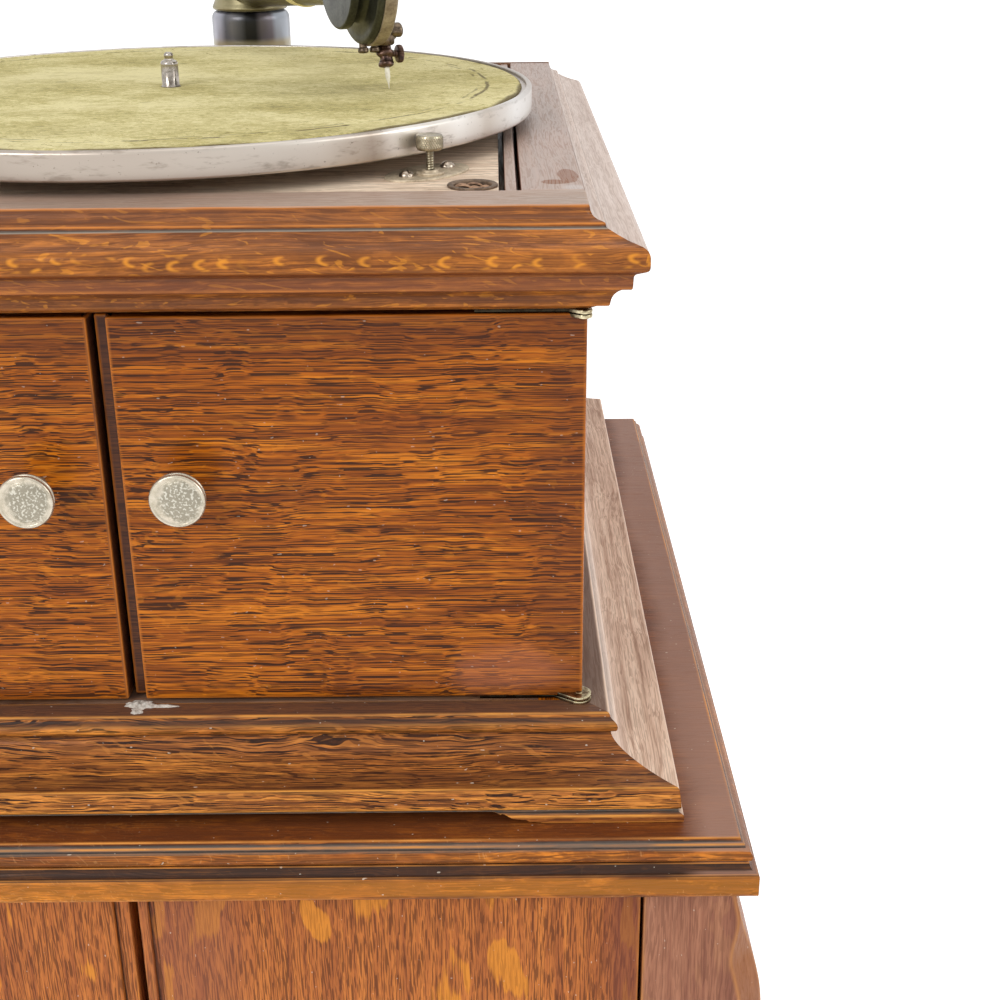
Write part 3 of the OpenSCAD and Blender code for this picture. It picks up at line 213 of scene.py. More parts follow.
def joined(*parts):
    """Several surfaces put into one list of points, faces and marks."""
    pts, faces, marks, at = [], [], [], 0
    for p, f, m in parts:
        pts.append(p)
        faces += [group + at for group in facing_out(p, f)]
        marks.append(np.zeros(len(p)) if m is None else m)
        at += len(p)
    return np.vstack(pts), faces, np.concatenate(marks)


def placed(part, at=(0, 0, 0), turn=None):
    """A surface turned by a 3 by 3 matrix and then moved."""
    pts, faces, marks = part
    pts = pts if turn is None else pts @ np.asarray(turn, float).T
    return pts + np.asarray(at, float), faces, marks


def pointing(axis, side=(0, 0, 1)):
    """Matrix that turns the upright axis to axis, with side's direction kept in the X-Z plane."""
    z = np.asarray(axis, float) / np.linalg.norm(axis)
    x = np.asarray(side, float) - np.dot(side, z) * z
    if np.linalg.norm(x) < 1e-6:
        x = np.array([1.0, 0, 0])
    x = x / np.linalg.norm(x)
    return np.stack([x, np.cross(z, x), z], -1)


def made(name, part, body, stands, finish, sharp=35):
    """Puts a surface into a mesh in metres, with its faces outwards and its marks as wear with painted
    highlight and grime with painted shade, shades it smooth up to the sharp angle, and lets it ride on
    its body in place of what it stands for."""
    pts, faces, marks = part
    pts = np.asarray(pts, float) / 1000
    mesh = bpy.data.meshes.new(name)
    mesh.from_pydata(pts.tolist(), [], [f for group in facing_out(pts, faces) for f in group.tolist()])
    if marks is not None:
        for key, values in (("wear", np.clip(marks, 0, 1)), ("grime_and_shade", np.clip(-marks, 0, 1))):
            layer = mesh.attributes.new(key, "FLOAT", "POINT")
            layer.data.foreach_set("value", values.astype(np.float32))
    mesh.polygons.foreach_set("use_smooth", np.ones(len(mesh.polygons), bool))
    mesh.validate()
    mesh.set_sharp_from_angle(angle=math.radians(sharp))
    piece = bpy.data.objects.new(name, mesh)
    bpy.context.scene.collection.objects.link(piece)
    mesh.materials.append(finish)
    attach(piece, body)
    if stands:
        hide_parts(*((stands,) if isinstance(stands, str) else stands))
    return piece


# ---------------------------------------------------------------- finishes
class Finish:
    """A material being mixed: each call adds one node and gives back its first output."""

    def __init__(self, name):
        self.material = bpy.data.materials.new(name)
        self.material.use_nodes = True
        self.tree = self.material.node_tree
        self.tree.nodes.clear()
        self.out = self.tree.nodes.new("ShaderNodeOutputMaterial")
        self.place = self.node("ShaderNodeTexCoord").outputs["Object"]

    def node(self, kind, values=None, **settings):
        n = self.tree.nodes.new(kind)
        for key, value in settings.items():
            setattr(n, key, value)
        for key, value in (values or {}).items():
            if isinstance(value, bpy.types.NodeSocket):
                self.tree.links.new(value, n.inputs[key])
            else:
                n.inputs[key].default_value = value
        return n

    def sum(self, how, *values):
        return self.node("ShaderNodeMath", dict(enumerate(values)), operation=how).outputs[0]

    def times(self, a, b):
        return self.sum("MULTIPLY", a, b)

    def scaled(self, a, by, more):
        """a times by, plus more."""
        return self.sum("MULTIPLY_ADD", a, by, more)

    def plus(self, a, b):
        return self.sum("ADD", a, b)

    def less(self, a, b):
        return self.sum("SUBTRACT", a, b)

    def swing(self, noise):
        """Noise, whose middle is 0.5, moved to swing about 0."""
        return self.less(noise, 0.5)

    def size(self, a):
        return self.sum("ABSOLUTE", a)

    def length(self, x, y):
        """Square root of x squared and y squared."""
        return self.sum("SQRT", self.plus(self.times(x, x), self.times(y, y)))

    def fade(self, value, low, high, to_low=0.0, to_high=1.0):
        """Carries value smoothly from low..high to to_low..to_high, held at both ends."""
        return self.node("ShaderNodeMapRange", {0: value, 1: low, 2: high, 3: to_low, 4: to_high},
                         interpolation_type="SMOOTHSTEP").outputs[0]

    def blend(self, amount, a, b):
        return self.node("ShaderNodeMix", {0: amount, 6: a, 7: b}, data_type="RGBA").outputs[2]

    def laid(self, amount, colour, tint):
        """A tint, written 0 to 255, laid over a colour by an amount."""
        return self.blend(amount, colour, (*rgb(*tint), 1))

    def tones(self, value, *stops):
        """Colour ramp through (place, colour) stops."""
        n = self.node("ShaderNodeValToRGB", {0: value})
        ramp = n.color_ramp
        while len(ramp.elements) < len(stops):
            ramp.elements.new(0.5)
        for e, (at, colour) in zip(ramp.elements, stops):
            e.position = at
            e.color = (*colour, 1)
        return n.outputs[0]

    def seen_from(self, x, y, z):
        """Place measured from a point given in millimetres."""
        away = (-x / 1000, -y / 1000, -z / 1000)
        return self.node("ShaderNodeMapping", {0: self.place, 1: away}).outputs[0]

    def noise(self, scale, detail, rough, shift=(0, 0, 0), source=None, lean=0.0):
        """Noise of the place times a scale for each axis, then moved."""
        place = self.node("ShaderNodeMapping", {0: source or self.place, 1: shift, 3: scale}).outputs[0]
        return self.node("ShaderNodeTexNoise", {"Vector": place, "Scale": 1.0, "Detail": detail,
                                                "Roughness": rough, "Distortion": lean}).outputs[0]

    def parts(self, vector):
        n = self.node("ShaderNodeSeparateXYZ", {0: vector})
        return [n.outputs[i] for i in range(3)]

    def vector(self, x, y, z):
        return self.node("ShaderNodeCombineXYZ", {0: x, 1: y, 2: z}).outputs[0]

    def mark(self, name):
        return self.node("ShaderNodeAttribute", attribute_name=name).outputs["Fac"]

    def facing(self):
        """The three parts of the direction in which the surface looks."""
        return self.parts(self.node("ShaderNodeNewGeometry").outputs["Normal"])

    def shade(self, **values):
        """The surface itself: values go to the shader's own sockets by name."""
        names = {"base": "Base Color", "metal": "Metallic", "rough": "Roughness", "normal": "Normal",
                 "coat": "Coat Weight", "coat_rough": "Coat Roughness", "sheen": "Sheen Weight",
                 "sheen_rough": "Sheen Roughness", "sheen_tint": "Sheen Tint", "spec": "Specular IOR Level"}
        n = self.node("ShaderNodeBsdfPrincipled")
        for key, value in values.items():
            socket = n.inputs[names[key]]
            if isinstance(value, bpy.types.NodeSocket):
                self.tree.links.new(value, socket)
            else:
                socket.default_value = (*value, 1) if isinstance(value, tuple) and len(value) == 3 else value
        self.tree.links.new(n.outputs[0], self.out.inputs[0])
        return self.material

    def bump(self, height, strength=0.3, distance=0.0003):
        return self.node("ShaderNodeBump", {"Height": height, "Strength": strength,
                                            "Distance": distance}).outputs[0]


def rgb(r, g, b):
    """A colour as seen on the screen, 0 to 255, as the light it stands for."""
    c = np.array([r, g, b]) / 255
    return tuple(float(x) for x in np.where(c <= 0.04045, c / 12.92, ((c + 0.055) / 1.055) ** 2.4))


def oak(name, along, light, mid, dark, pore=(62, 28, 12), pores=0.8, pore_run=1.0, pore_gap=1.0, wave=1.0,
        curl=0.0, flecks=0.0, fleck_colour=(214, 140, 62), fleck_size=(1.0, 1.0), fleck_cut=0.62, lean=0.22,
        rough=0.4, coat=0.05, spec=0.16, dust=0.0, dust_and_sheen_colour=(150, 130, 118), top_dust_and_sheen=0.0, side_shading=0.0,
        side_shading_colour=(206, 184, 172), worn_and_highlight_colour=(196, 122, 52), grime_and_shade_colour=(40, 22, 14), zones=(),
        spots=(), rays=None, mottle=0.0, dense=0.0, specks=0.0, even=0.45, thread=330, crowd=0.07, seed=0.0):
    """Quarter-sawn oak under old varnish. along is the grain's axis. Tone is noise drawn out along
    the grain, as fine across it as thread says, with slow noise added by even. Pores are dashes
    where finer drawn-out noise passes a limit, and crowd gathers them into groups.
    flecks are blots of noise across the grain. zones are (axis, low, high, soft, colour, amount)
    bands, with a last "up" only where the surface looks up, and spots are (axis, middle, reach,
    axis, middle, reach, soft, colour, amount) patches, both with ragged edges. rays is (low, high,
    amount) of a band where rays show as golden crescents. Dust with a painted sheen lies where the
    surface looks up, and a painted shading, mostly a pale sheen, where it looks sideways."""
    f = Finish(name)
    xyz = f.parts(f.place)
    axis_of = lambda k: xyz["XYZ".index(k)]
    g = axis_of(along)
    a, b = [axis_of(k) for k in "XYZ" if k != along]
    path = f.vector(g, a, b)
    slow = f.noise((5, 22, 22), 3, 0.5, (seed, seed * 1.7, 3), path)
    quick = f.noise((45, 60, 60), 2, 0.6, (seed + 5, 1, 2), path)
    bend = f.scaled(slow, 0.022 * wave, f.times(quick, 0.0022 * wave))
    if curl:
        ripple = f.noise((62, 26, 26), 1, 0.5, (seed + 3, 7, 1), path)
        bend = f.scaled(ripple, 0.007 * curl, bend)
    way = f.vector(g, f.plus(a, bend), f.plus(b, bend))
    streak = f.noise((13, thread, thread), 4, 0.66, (seed + 2, 0, 0), way)
    tone = f.noise((9, 26, 26), 3, 0.55, (seed + 4, 0, 0), path)
    body = f.scaled(f.swing(tone), even, streak)
    colour = f.tones(body, (0.33, rgb(*dark)), (0.49, rgb(*mid)), (0.66, rgb(*light)))

    def dashes(length, across, shift, low, high):
        pitch = (length / pore_run, across / pore_gap, across / pore_gap)
        dash = f.noise(pitch, 0.2, 0.5, (seed + shift, 0, 4), way)
        return f.fade(f.scaled(crowded, crowd, dash), low - dense, high - dense)

    crowded = f.swing(f.noise((12, 60, 60), 1, 0.5, (seed + 6, 0, 0), way))
    strong = dashes(52, 1650, 9, 0.545, 0.60)
    faint = dashes(85, 2500, 15, 0.55, 0.62)
    holes = f.sum("MAXIMUM", strong, f.times(faint, 0.6))
    colour = f.laid(f.times(holes, pores), colour, pore)
    if mottle:
        cloud = f.noise((100, 260, 260), 3, 0.65, (seed + 25, 3, 0), path)
        colour = f.laid(f.fade(cloud, 0.40, 0.58, mottle, 0.0), colour, dark)
        colour = f.laid(f.fade(cloud, 0.58, 0.70, 0.0, mottle * 0.6), colour, light)
    if flecks:
        sx, sy = fleck_size
        slant = f.scaled(g, lean, f.times(slow, 0.06))
        across = f.vector(g, f.plus(a, slant), f.plus(b, slant))
        ray = f.noise((95 / sx, 330 / sy, 330 / sy), 1, 0.4, (seed + 13, 2, 6), across, lean=0.3)
        groups = f.noise((16, 22, 22), 1, 0.5, (seed + 17, 0, 0), path)
        ray = f.scaled(f.swing(streak), 0.3, f.scaled(groups, 0.25, ray))
        shine = f.times(f.fade(ray, fleck_cut + 0.125, fleck_cut + 0.165), f.scaled(holes, -0.3, 1.0))
        colour = f.laid(f.times(shine, flecks), colour, fleck_colour)
    patch = f.noise((14, 14, 14), 4, 0.6, (seed + 21, 8, 3))
    rag = f.swing(patch)
    if rays:
        low, high = rays[0] / 1000, rays[1] / 1000
        flat = f.vector(f.times(g, 135), f.times(axis_of("Z"), 250), 0)
        cell = f.node("ShaderNodeTexVoronoi", {"Vector": flat, "Scale": 1.0, "Randomness": 0.85},
                      voronoi_dimensions="2D")
        away = f.node("ShaderNodeVectorMath", {0: flat, 1: cell.outputs["Position"]}, operation="SUBTRACT")
        dx = f.parts(away.outputs[0])[0]
        chance = f.parts(cell.outputs["Color"])[0]
        ring = f.scaled(f.swing(quick), 0.5, cell.outputs["Distance"])
        hook = f.fade(f.size(f.less(ring, 0.34)), 0.0, 0.22, 1.0, 0.0)
        hook = f.times(hook, f.fade(dx, -0.1, 0.14, 1.0, 0.0))
        hook = f.times(hook, f.fade(chance, 0.25, 0.6))
        band = f.times(f.fade(axis_of("Z"), low, low + 0.0014),
                       f.fade(axis_of("Z"), high - 0.0014, high, 1.0, 0.0))
        colour = f.laid(f.times(f.times(hook, band), rays[2]), colour, fleck_colour)
    nx, _, nz = f.facing()
    for axis, low, high, soft, tint, amount, *upward in zones:
        low, high, soft = low / 1000, high / 1000, soft / 1000
        x = f.scaled(rag, soft * 3, axis_of(axis))
        inside = f.times(f.fade(x, low - soft, low + soft), f.fade(x, high - soft, high + soft, 1.0, 0.0))
        inside = f.times(inside, f.fade(nz, 0.7, 0.95)) if upward else inside
        colour = f.laid(f.times(inside, amount), colour, tint)
    fine = f.noise((380, 900, 900), 3, 0.7, (seed, 0, 5), path)
    if dust:
        film = f.times(f.fade(f.scaled(fine, 0.35, patch), 0.45, 0.85), dust)
        colour = f.laid(film, colour, dust_and_sheen_colour)
    # Faces that look up take dust and a painted sheen; faces that look sideways take painted shading, mostly
    # a pale sheen.
    if top_dust_and_sheen or side_shading:
        broken = f.fade(f.scaled(fine, 0.3, patch), 0.4, 0.85, 0.7, 1.0)
        if top_dust_and_sheen:
            up = f.times(f.fade(nz, 0.55, 0.95), f.times(broken, top_dust_and_sheen))
            colour = f.laid(f.times(up, f.scaled(holes, -0.4 * pores, 1.0)), colour, dust_and_sheen_colour)
        if side_shading:
            aside = f.times(f.fade(f.size(nx), 0.25, 0.8), f.times(broken, side_shading))
            colour = f.laid(f.times(aside, f.scaled(holes, -0.4 * pores, 1.0)), colour, side_shading_colour)
    for one, mid_a, reach_a, two, mid_b, reach_b, soft, tint, amount in spots:
        u = f.size(f.scaled(axis_of(one), 1000 / reach_a, -mid_a / reach_a))
        v = f.size(f.scaled(axis_of(two), 1000 / reach_b, -mid_b / reach_b))
        away = f.length(u, v)
        away = f.scaled(f.swing(quick), 1.1, away)
        colour = f.laid(f.fade(away, 1 - soft, 1.0, amount, 0.0), colour, tint)
    if specks:
        dot = f.fade(f.noise((600, 1100, 1100), 0, 0.5, (seed + 41, 0, 5), path), 0.845, 0.86)
        colour = f.laid(f.times(dot, specks), colour, (226, 214, 196))
    # Inward corners take grime and painted shade; outward edges take wear and painted highlights.
    grime_and_shade = f.times(f.mark("grime_and_shade"), f.fade(f.scaled(fine, 0.5, patch), 0.35, 0.85, 0.55, 1.0))
    colour = f.laid(grime_and_shade, colour, grime_and_shade_colour)
    edge_wear_and_highlight = f.times(f.mark("wear"), f.fade(f.scaled(quick, 0.6, patch), 0.58, 0.95, 0.12, 0.95))
    colour = f.laid(edge_wear_and_highlight, colour, worn_and_highlight_colour)
    skin = f.scaled(patch, 0.22, f.scaled(holes, 0.2, rough - 0.11))
    relief = f.scaled(holes, -1.2 * pores, f.times(fine, 0.3))
    return f.shade(base=colour, rough=skin, coat=coat, coat_rough=0.2, spec=spec,
                   normal=f.bump(relief, 0.3, 0.0002))


def plated(name, light, dark, rough=0.3, metal=1.0, streak=(1, 1, 1), pits=0.2, pit_colour=(90, 78, 60),
           seed=0.0, blotch=60.0, bump=0.12, grime_and_shade_colour=(40, 36, 30), under=0.0, underside_shade_colour=(60, 56, 40)):
    """Old plated or unplated metal: tone from blotches and fine streaks, pits where noise peaks, and
    roughness that follows both. A painted shade darkens the surface where it looks down."""
    f = Finish(name)
    blot = f.noise((blotch,) * 3, 4, 0.6, (seed, 0, 0))
    line = f.noise(tuple(900 * s for s in streak), 3, 0.6, (0, seed, 0))
    pit = f.fade(f.noise((1400,) * 3, 2, 0.7, (0, 0, seed)), 0.66, 0.74)
    body = f.scaled(f.swing(line), 0.4, blot)
    colour = f.tones(body, (0.32, rgb(*dark)), (0.62, rgb(*light)))
    colour = f.laid(f.times(pit, pits), colour, pit_colour)
    # The grime mark, which the hinge leaves carry on their tails, is laid as painted shade.
    colour = f.laid(f.times(f.mark("grime_and_shade"), 0.96), colour, grime_and_shade_colour)
    if under:
        # Painted shade on faces that look down.
        colour = f.laid(f.fade(f.facing()[2], -0.95, 0.0, under, 0.0), colour, underside_shade_colour)
    skin = f.scaled(body, -0.25, f.scaled(pit, 0.25, rough + 0.12))
    relief = f.scaled(pit, -1.0, line)
    return f.shade(base=colour, metal=metal, rough=skin, normal=f.bump(relief, bump, 0.00008))


# ---------------------------------------------------------------- oak finishes
door_oak = oak("varnished_door_oak", "X", light=(214, 124, 26), mid=(172, 90, 12), dark=(122, 58, 4),
    pore=(50, 22, 4), flecks=0.26, fleck_colour=(222, 134, 34), fleck_size=(3.2, 0.7), even=0.3, thread=520,
    crowd=0.04, pore_gap=0.72, pore_run=1.8, fleck_cut=0.67, pores=0.95, wave=0.45, curl=0.25, rough=0.33,
    coat=0.1, specks=0.3, seed=3.1, worn_and_highlight_colour=(196, 114, 40),
    zones=[
        # First zone on the next line: a darker band at the top, under the cornice, painted shade.
        ("Z", HEAD - 14, HEAD + 30, 9, (74, 36, 20), 0.5), ("X", 146, 200, 7, (92, 46, 22), 0.4),
        # Last zone on the next line: the doors' edges and the tongue in the gap between them darkened,
        # painted shade.
        ("Z", 700, LEDGE + 4, 7, (84, 42, 20), 0.4), ("X", -4, 2.9, 0.2, (66, 40, 30), 0.85)],
    spots=[
        ("X", 134, 26, "Z", 782, 12, 0.7, (176, 108, 78), 0.4),
        # The dark patch on the next line, right of and below the knob, is a painted shadow of the knob.
        ("X", 60, 14, "Z", 852, 10, 0.9, (70, 32, 12), 0.35),
        ("X", 95, 60, "Z", 874, 12, 0.9, (120, 58, 20), 0.35)])
case_oak = oak("varnished_case_oak", "Y", light=(210, 120, 20), mid=(168, 86, 10), dark=(118, 56, 6),
    pore=(52, 22, 4), flecks=0.4, fleck_size=(3.0, 1.0), fleck_cut=0.66, curl=0.4, seed=11.0, rough=0.36)
low_door_oak = oak("lower_door_oak", "Z", light=(208, 124, 56), mid=(188, 108, 50), dark=(158, 86, 42),
    pore=(70, 34, 20), pores=0.7, pore_run=0.5, pore_gap=0.8, thread=480, crowd=0.05, wave=0.3, flecks=0.85,
    fleck_colour=(222, 140, 46), fleck_size=(3.2, 5.2), fleck_cut=0.63, lean=0.1, seed=7.7, rough=0.4,
    specks=0.5,
    zones=[
        ("X", 170, 190, 5, (116, 60, 44), 0.7), ("X", -190, -170, 5, (116, 60, 44), 0.7),
        ("X", 0, 34, 10, (140, 84, 66), 0.45)])
# The pale taupe of the posts' fronts is painted sheen, and the orange on faces that look sideways is painted
# shading of the same oak.
post_oak = oak("post_oak", "Z", light=(178, 122, 94), mid=(160, 106, 80), dark=(138, 86, 66),
    pore=(100, 62, 48), pores=0.4, pore_run=0.6, flecks=0.2, fleck_colour=(190, 134, 92), fleck_size=(3, 5),
    wave=0.4, seed=19.0, rough=0.4, specks=0.4, side_shading=0.8, side_shading_colour=(150, 90, 42),
    worn_and_highlight_colour=(196, 132, 72))
panel_oak = oak("side_panel_oak", "Z", light=(188, 108, 48), mid=(160, 88, 42), dark=(120, 64, 34),
    pore=(60, 30, 18), pores=0.8, pore_gap=1.15, flecks=0.5, fleck_colour=(206, 130, 50),
    fleck_size=(3.2, 5.2), fleck_cut=0.66, lean=0.1, wave=0.45, seed=23.0, rough=0.42)
# Faces that look sideways carry a painted sheen.
top_oak = oak("top_board_oak", "X", light=(216, 128, 42), mid=(158, 84, 30), dark=(92, 46, 20), pores=0.75,
    pore_gap=0.9, mottle=0.6, pore_run=1.5, thread=200, seed=29.0, flecks=0.3, fleck_colour=(206, 150, 96),
    fleck_size=(0.7, 0.4), fleck_cut=0.69, lean=0.8, rough=0.33, worn_and_highlight_colour=(228, 150, 66),
    grime_and_shade_colour=(34, 24, 20), specks=0.6, side_shading=0.5, side_shading_colour=(176, 140, 122),
    zones=[
        # Darker top face round the plinth's foot: painted shadow of the plinth.
        ("Z", Z_FOOT - 0.5, Z_FOOT + 5, 0.25, (100, 54, 28), 0.7),
        # Grey in the groove: dust and painted shade.
        ("Z", Z_FOOT - 3.4, Z_FOOT - 1.0, 0.25, (104, 104, 98), 0.7),
        # Near-black quirk under the bead: painted shade.
        ("Z", Z_FOOT - 11.5, Z_FOOT - 8.1, 0.3, (50, 38, 32), 0.85),
        ("Z", Z_FOOT - 18.8, Z_FOOT - 12.4, 0.6, (240, 154, 44), 0.3),
        # Taupe on the top faces beside the plinth: dust and painted sheen.
        ("X", 198, 240, 6, (162, 124, 106), 0.8, "up"), ("X", -240, -198, 6, (162, 124, 106), 0.8, "up")])
cornice_front_oak = oak("cornice_front_oak", "X", light=(196, 118, 46), mid=(140, 80, 34), dark=(100, 56, 28),
    pore=(76, 40, 20), pores=0.5, pore_run=1.2, pore_gap=0.8, mottle=0.45, seed=31.0, rough=0.33, coat=0.1,
    flecks=0.4, fleck_colour=(238, 154, 48), fleck_size=(2.2, 0.6), fleck_cut=0.65, lean=0.35, thread=480,
    worn_and_highlight_colour=(214, 132, 56), grime_and_shade_colour=(60, 38, 28), rays=(Z_TOP - 16.8, Z_TOP - 11.0, 0.7),
    zones=[
        ("Z", Z_TOP - 5.4, Z_TOP - 0.3, 0.4, (128, 84, 60), 0.35),
        ("Z", Z_TOP - 6.6, Z_TOP - 5.9, 0.15, (168, 168, 156), 0.75),
        ("Z", Z_TOP - 19.0, Z_TOP - 17.6, 0.3, (96, 42, 20), 0.7),
        ("Z", Z_TOP - 26, Z_TOP - 19.2, 0.8, (140, 84, 60), 0.4)])
# The pale pinkish tones are a painted sheen of the white surroundings on the sides, with dust on faces that
# look up.
cornice_side_oak = oak("cornice_side_oak", "Y", light=(222, 198, 184), mid=(208, 182, 166),
    dark=(180, 148, 130), pores=0.2, seed=37.0, rough=0.36, worn_and_highlight_colour=(236, 206, 186), side_shading=0.9,
    side_shading_colour=(214, 198, 188), top_dust_and_sheen=0.5, dust_and_sheen_colour=(206, 190, 180), grime_and_shade_colour=(120, 92, 76))
plinth_front_oak = oak("plinth_front_oak", "X", light=(238, 154, 66), mid=(190, 114, 50), dark=(112, 62, 28),
    pore=(48, 24, 12), pores=1.0, pore_gap=0.75, mottle=0.35, dense=0.01, seed=41.0, rough=0.34, thread=480,
    worn_and_highlight_colour=(236, 160, 70), grime_and_shade_colour=(44, 30, 24), top_dust_and_sheen=0.2, dust_and_sheen_colour=(110, 74, 54),
    flecks=0.35, fleck_colour=(226, 146, 66), fleck_size=(3.0, 0.7), fleck_cut=0.66, specks=0.6,
    zones=[
        ("Z", Z_FOOT + 3.2, Z_FOOT + 4.9, 0.2, (118, 120, 114), 0.7),
        ("Z", Z_FOOT - 1, Z_FOOT + 3.2, 0.3, (140, 80, 46), 0.5),
        ("Z", Z_FOOT + 12.5, Z_FOOT + 13.9, 0.25, (74, 42, 24), 0.5),
        ("Z", LEDGE - 0.6, LEDGE + 2.8, 0.35, (92, 66, 54), 0.85),
        # The dark line on the next line is painted shade in the quirk under the ledge's edge.
        ("Z", LEDGE - 3.2, LEDGE - 1.6, 0.3, (70, 52, 44), 0.7),
        ("Z", LEDGE - 7.2, LEDGE - 5.8, 0.3, (66, 40, 26), 0.6)])
# The pale pinkish tones are a painted reflection of the white surroundings at a grazing view.
plinth_side_oak = oak("plinth_side_oak", "Y", light=(236, 208, 184), mid=(218, 186, 162),
    dark=(184, 148, 124), pore=(122, 90, 72), pores=0.4, pore_gap=0.8, seed=43.0, rough=0.36,
    worn_and_highlight_colour=(236, 206, 180), side_shading=0.9, side_shading_colour=(246, 220, 202), grime_and_shade_colour=(84, 58, 44),
    thread=420,
    zones=[
        ("Z", LEDGE - 0.8, LEDGE + 2.8, 0.3, (104, 82, 70), 0.85),
        # The grey band on the next line is painted shade in the quirk under the ledge.
        ("Z", LEDGE - 4.8, LEDGE - 1.6, 0.3, (150, 150, 150), 0.5)])
# The pale top of the front rail is dust and painted sheen.
rail_front_oak = oak("frame_front_oak", "X", light=(150, 96, 62), mid=(122, 74, 46), dark=(92, 52, 32),
    pores=0.3, seed=47.0, rough=0.34, top_dust_and_sheen=0.85, dust_and_sheen_colour=(182, 160, 144), worn_and_highlight_colour=(186, 156, 134),
    spots=[("Y", Y_DOOR + 0.2, 0.7, "Z", Z_TOP, 1.2, 0.4, (214, 128, 48), 0.8)])
# The pale tops of the side rails are dust and painted sheen.
rail_side_oak = oak("frame_side_oak", "Y", light=(160, 108, 84), mid=(136, 90, 70), dark=(104, 66, 52),
    pores=0.15, seed=53.0, rough=0.32, top_dust_and_sheen=0.9, dust_and_sheen_colour=(182, 162, 150), worn_and_highlight_colour=(196, 172, 158),
    spots=[
        ("X", 157.0, 4.5, "Y", Y_DOOR + 46, 13, 0.12, (136, 90, 62), 1.0),
        ("X", 152.5, 5.5, "Y", Y_DOOR + 36, 4.5, 0.12, (136, 90, 62), 1.0),
        ("X", 158, 6, "Y", Y_DOOR + 27, 6, 0.6, (196, 184, 178), 0.6)])
# The board's light tones are lifted to cancel the shade under the platter: painted light over the board's
# beige, with dust.
board_oak = oak("motor_board_oak", "X", light=(255, 236, 212), mid=(244, 218, 192), dark=(196, 168, 142),
    pore=(116, 92, 72), pores=0.6, seed=59.0, rough=0.55, coat=0.0, dust=0.4, dust_and_sheen_colour=(255, 238, 214),
    mottle=0.3)
bare_wood = oak("inside_wood", "Z", light=(150, 104, 66), mid=(122, 80, 50), dark=(80, 50, 32), pores=0.5,
    seed=61.0, rough=0.6, coat=0.0, dust=0.3)
inside_flat = oak("inside_shelf_wood", "X", light=(150, 104, 66), mid=(122, 80, 50), dark=(80, 50, 32),
    pores=0.5, seed=67.0, rough=0.6, coat=0.0, dust=0.35)
horn_wood = oak("horn_wood", "Y", light=(96, 60, 38), mid=(70, 42, 28), dark=(40, 24, 16), pores=0.5,
    seed=71.0, rough=0.5)

# ---------------------------------------------------------------- metals and the rest
# The near-black tone laid on the leaves' tails is painted shade behind the doors.
leaf_metal = plated("hinge_leaf_metal", (214, 202, 166), (104, 84, 58), rough=0.28, blotch=260, pits=0.5,
    seed=3, grime_and_shade_colour=(22, 14, 10))
# The arm's underside is darkened: painted shade.
arm_plate = plated("arm_plate", (158, 148, 114), (108, 100, 70), rough=0.36, metal=0.55, blotch=45,
    streak=(0.1, 0.1, 1), seed=4, under=0.75, underside_shade_colour=(84, 76, 36))
ferrule_metal = plated("ferrule_metal", (252, 240, 178), (232, 214, 140), rough=0.4, metal=0.3, blotch=60,
    seed=17)
box_plate = plated("sound_box_plate", (74, 75, 64), (32, 33, 28), rough=0.36, metal=0.7, blotch=70, pits=0.5,
    seed=6)
band_metal = plated("sound_box_band_metal", (180, 164, 138), (124, 108, 88), rough=0.4, metal=0.25, blotch=90,
    pits=0.4, seed=18)
bar_metal = plated("needle_bar_metal", (132, 114, 94), (50, 40, 32), rough=0.32, metal=0.8, blotch=300,
    pits=0.5, seed=7)
chuck_metal = plated("chuck_metal", (112, 86, 74), (48, 34, 30), rough=0.34, metal=0.7, blotch=300, pits=0.4,
    seed=19)
# Its dark tones stand in for the shade inside the cup: painted shade.
cup_metal = plated("cup_metal", (120, 98, 78), (52, 38, 28), rough=0.6, metal=0.3, blotch=240, pits=0.6,
    seed=16)
screw_steel = plated("screw_steel", (190, 176, 160), (104, 88, 74), rough=0.3, blotch=300, seed=8)
fitting_plate = plated("regulator_plate_metal", (206, 190, 164), (150, 132, 108), rough=0.5, metal=0.4,
    blotch=150, pits=0.6, seed=9)
knurl_metal = plated("knurled_metal", (176, 166, 142), (92, 84, 68), rough=0.3, blotch=260, pits=0.5, seed=10)
bright_steel = plated("bright_steel", (186, 178, 168), (104, 94, 84), rough=0.2, blotch=160, seed=12)
iron = plated("motor_iron", (86, 86, 82), (52, 52, 50), rough=0.5, metal=0.4, blotch=60, pits=0.5, seed=13)
brass = plated("gear_brass", (206, 174, 104), (150, 120, 66), rough=0.28, blotch=60, streak=(0.1, 0.1, 1),
    seed=14)
blued = plated("spring_steel", (110, 116, 128), (60, 62, 70), rough=0.3, blotch=50, seed=15)


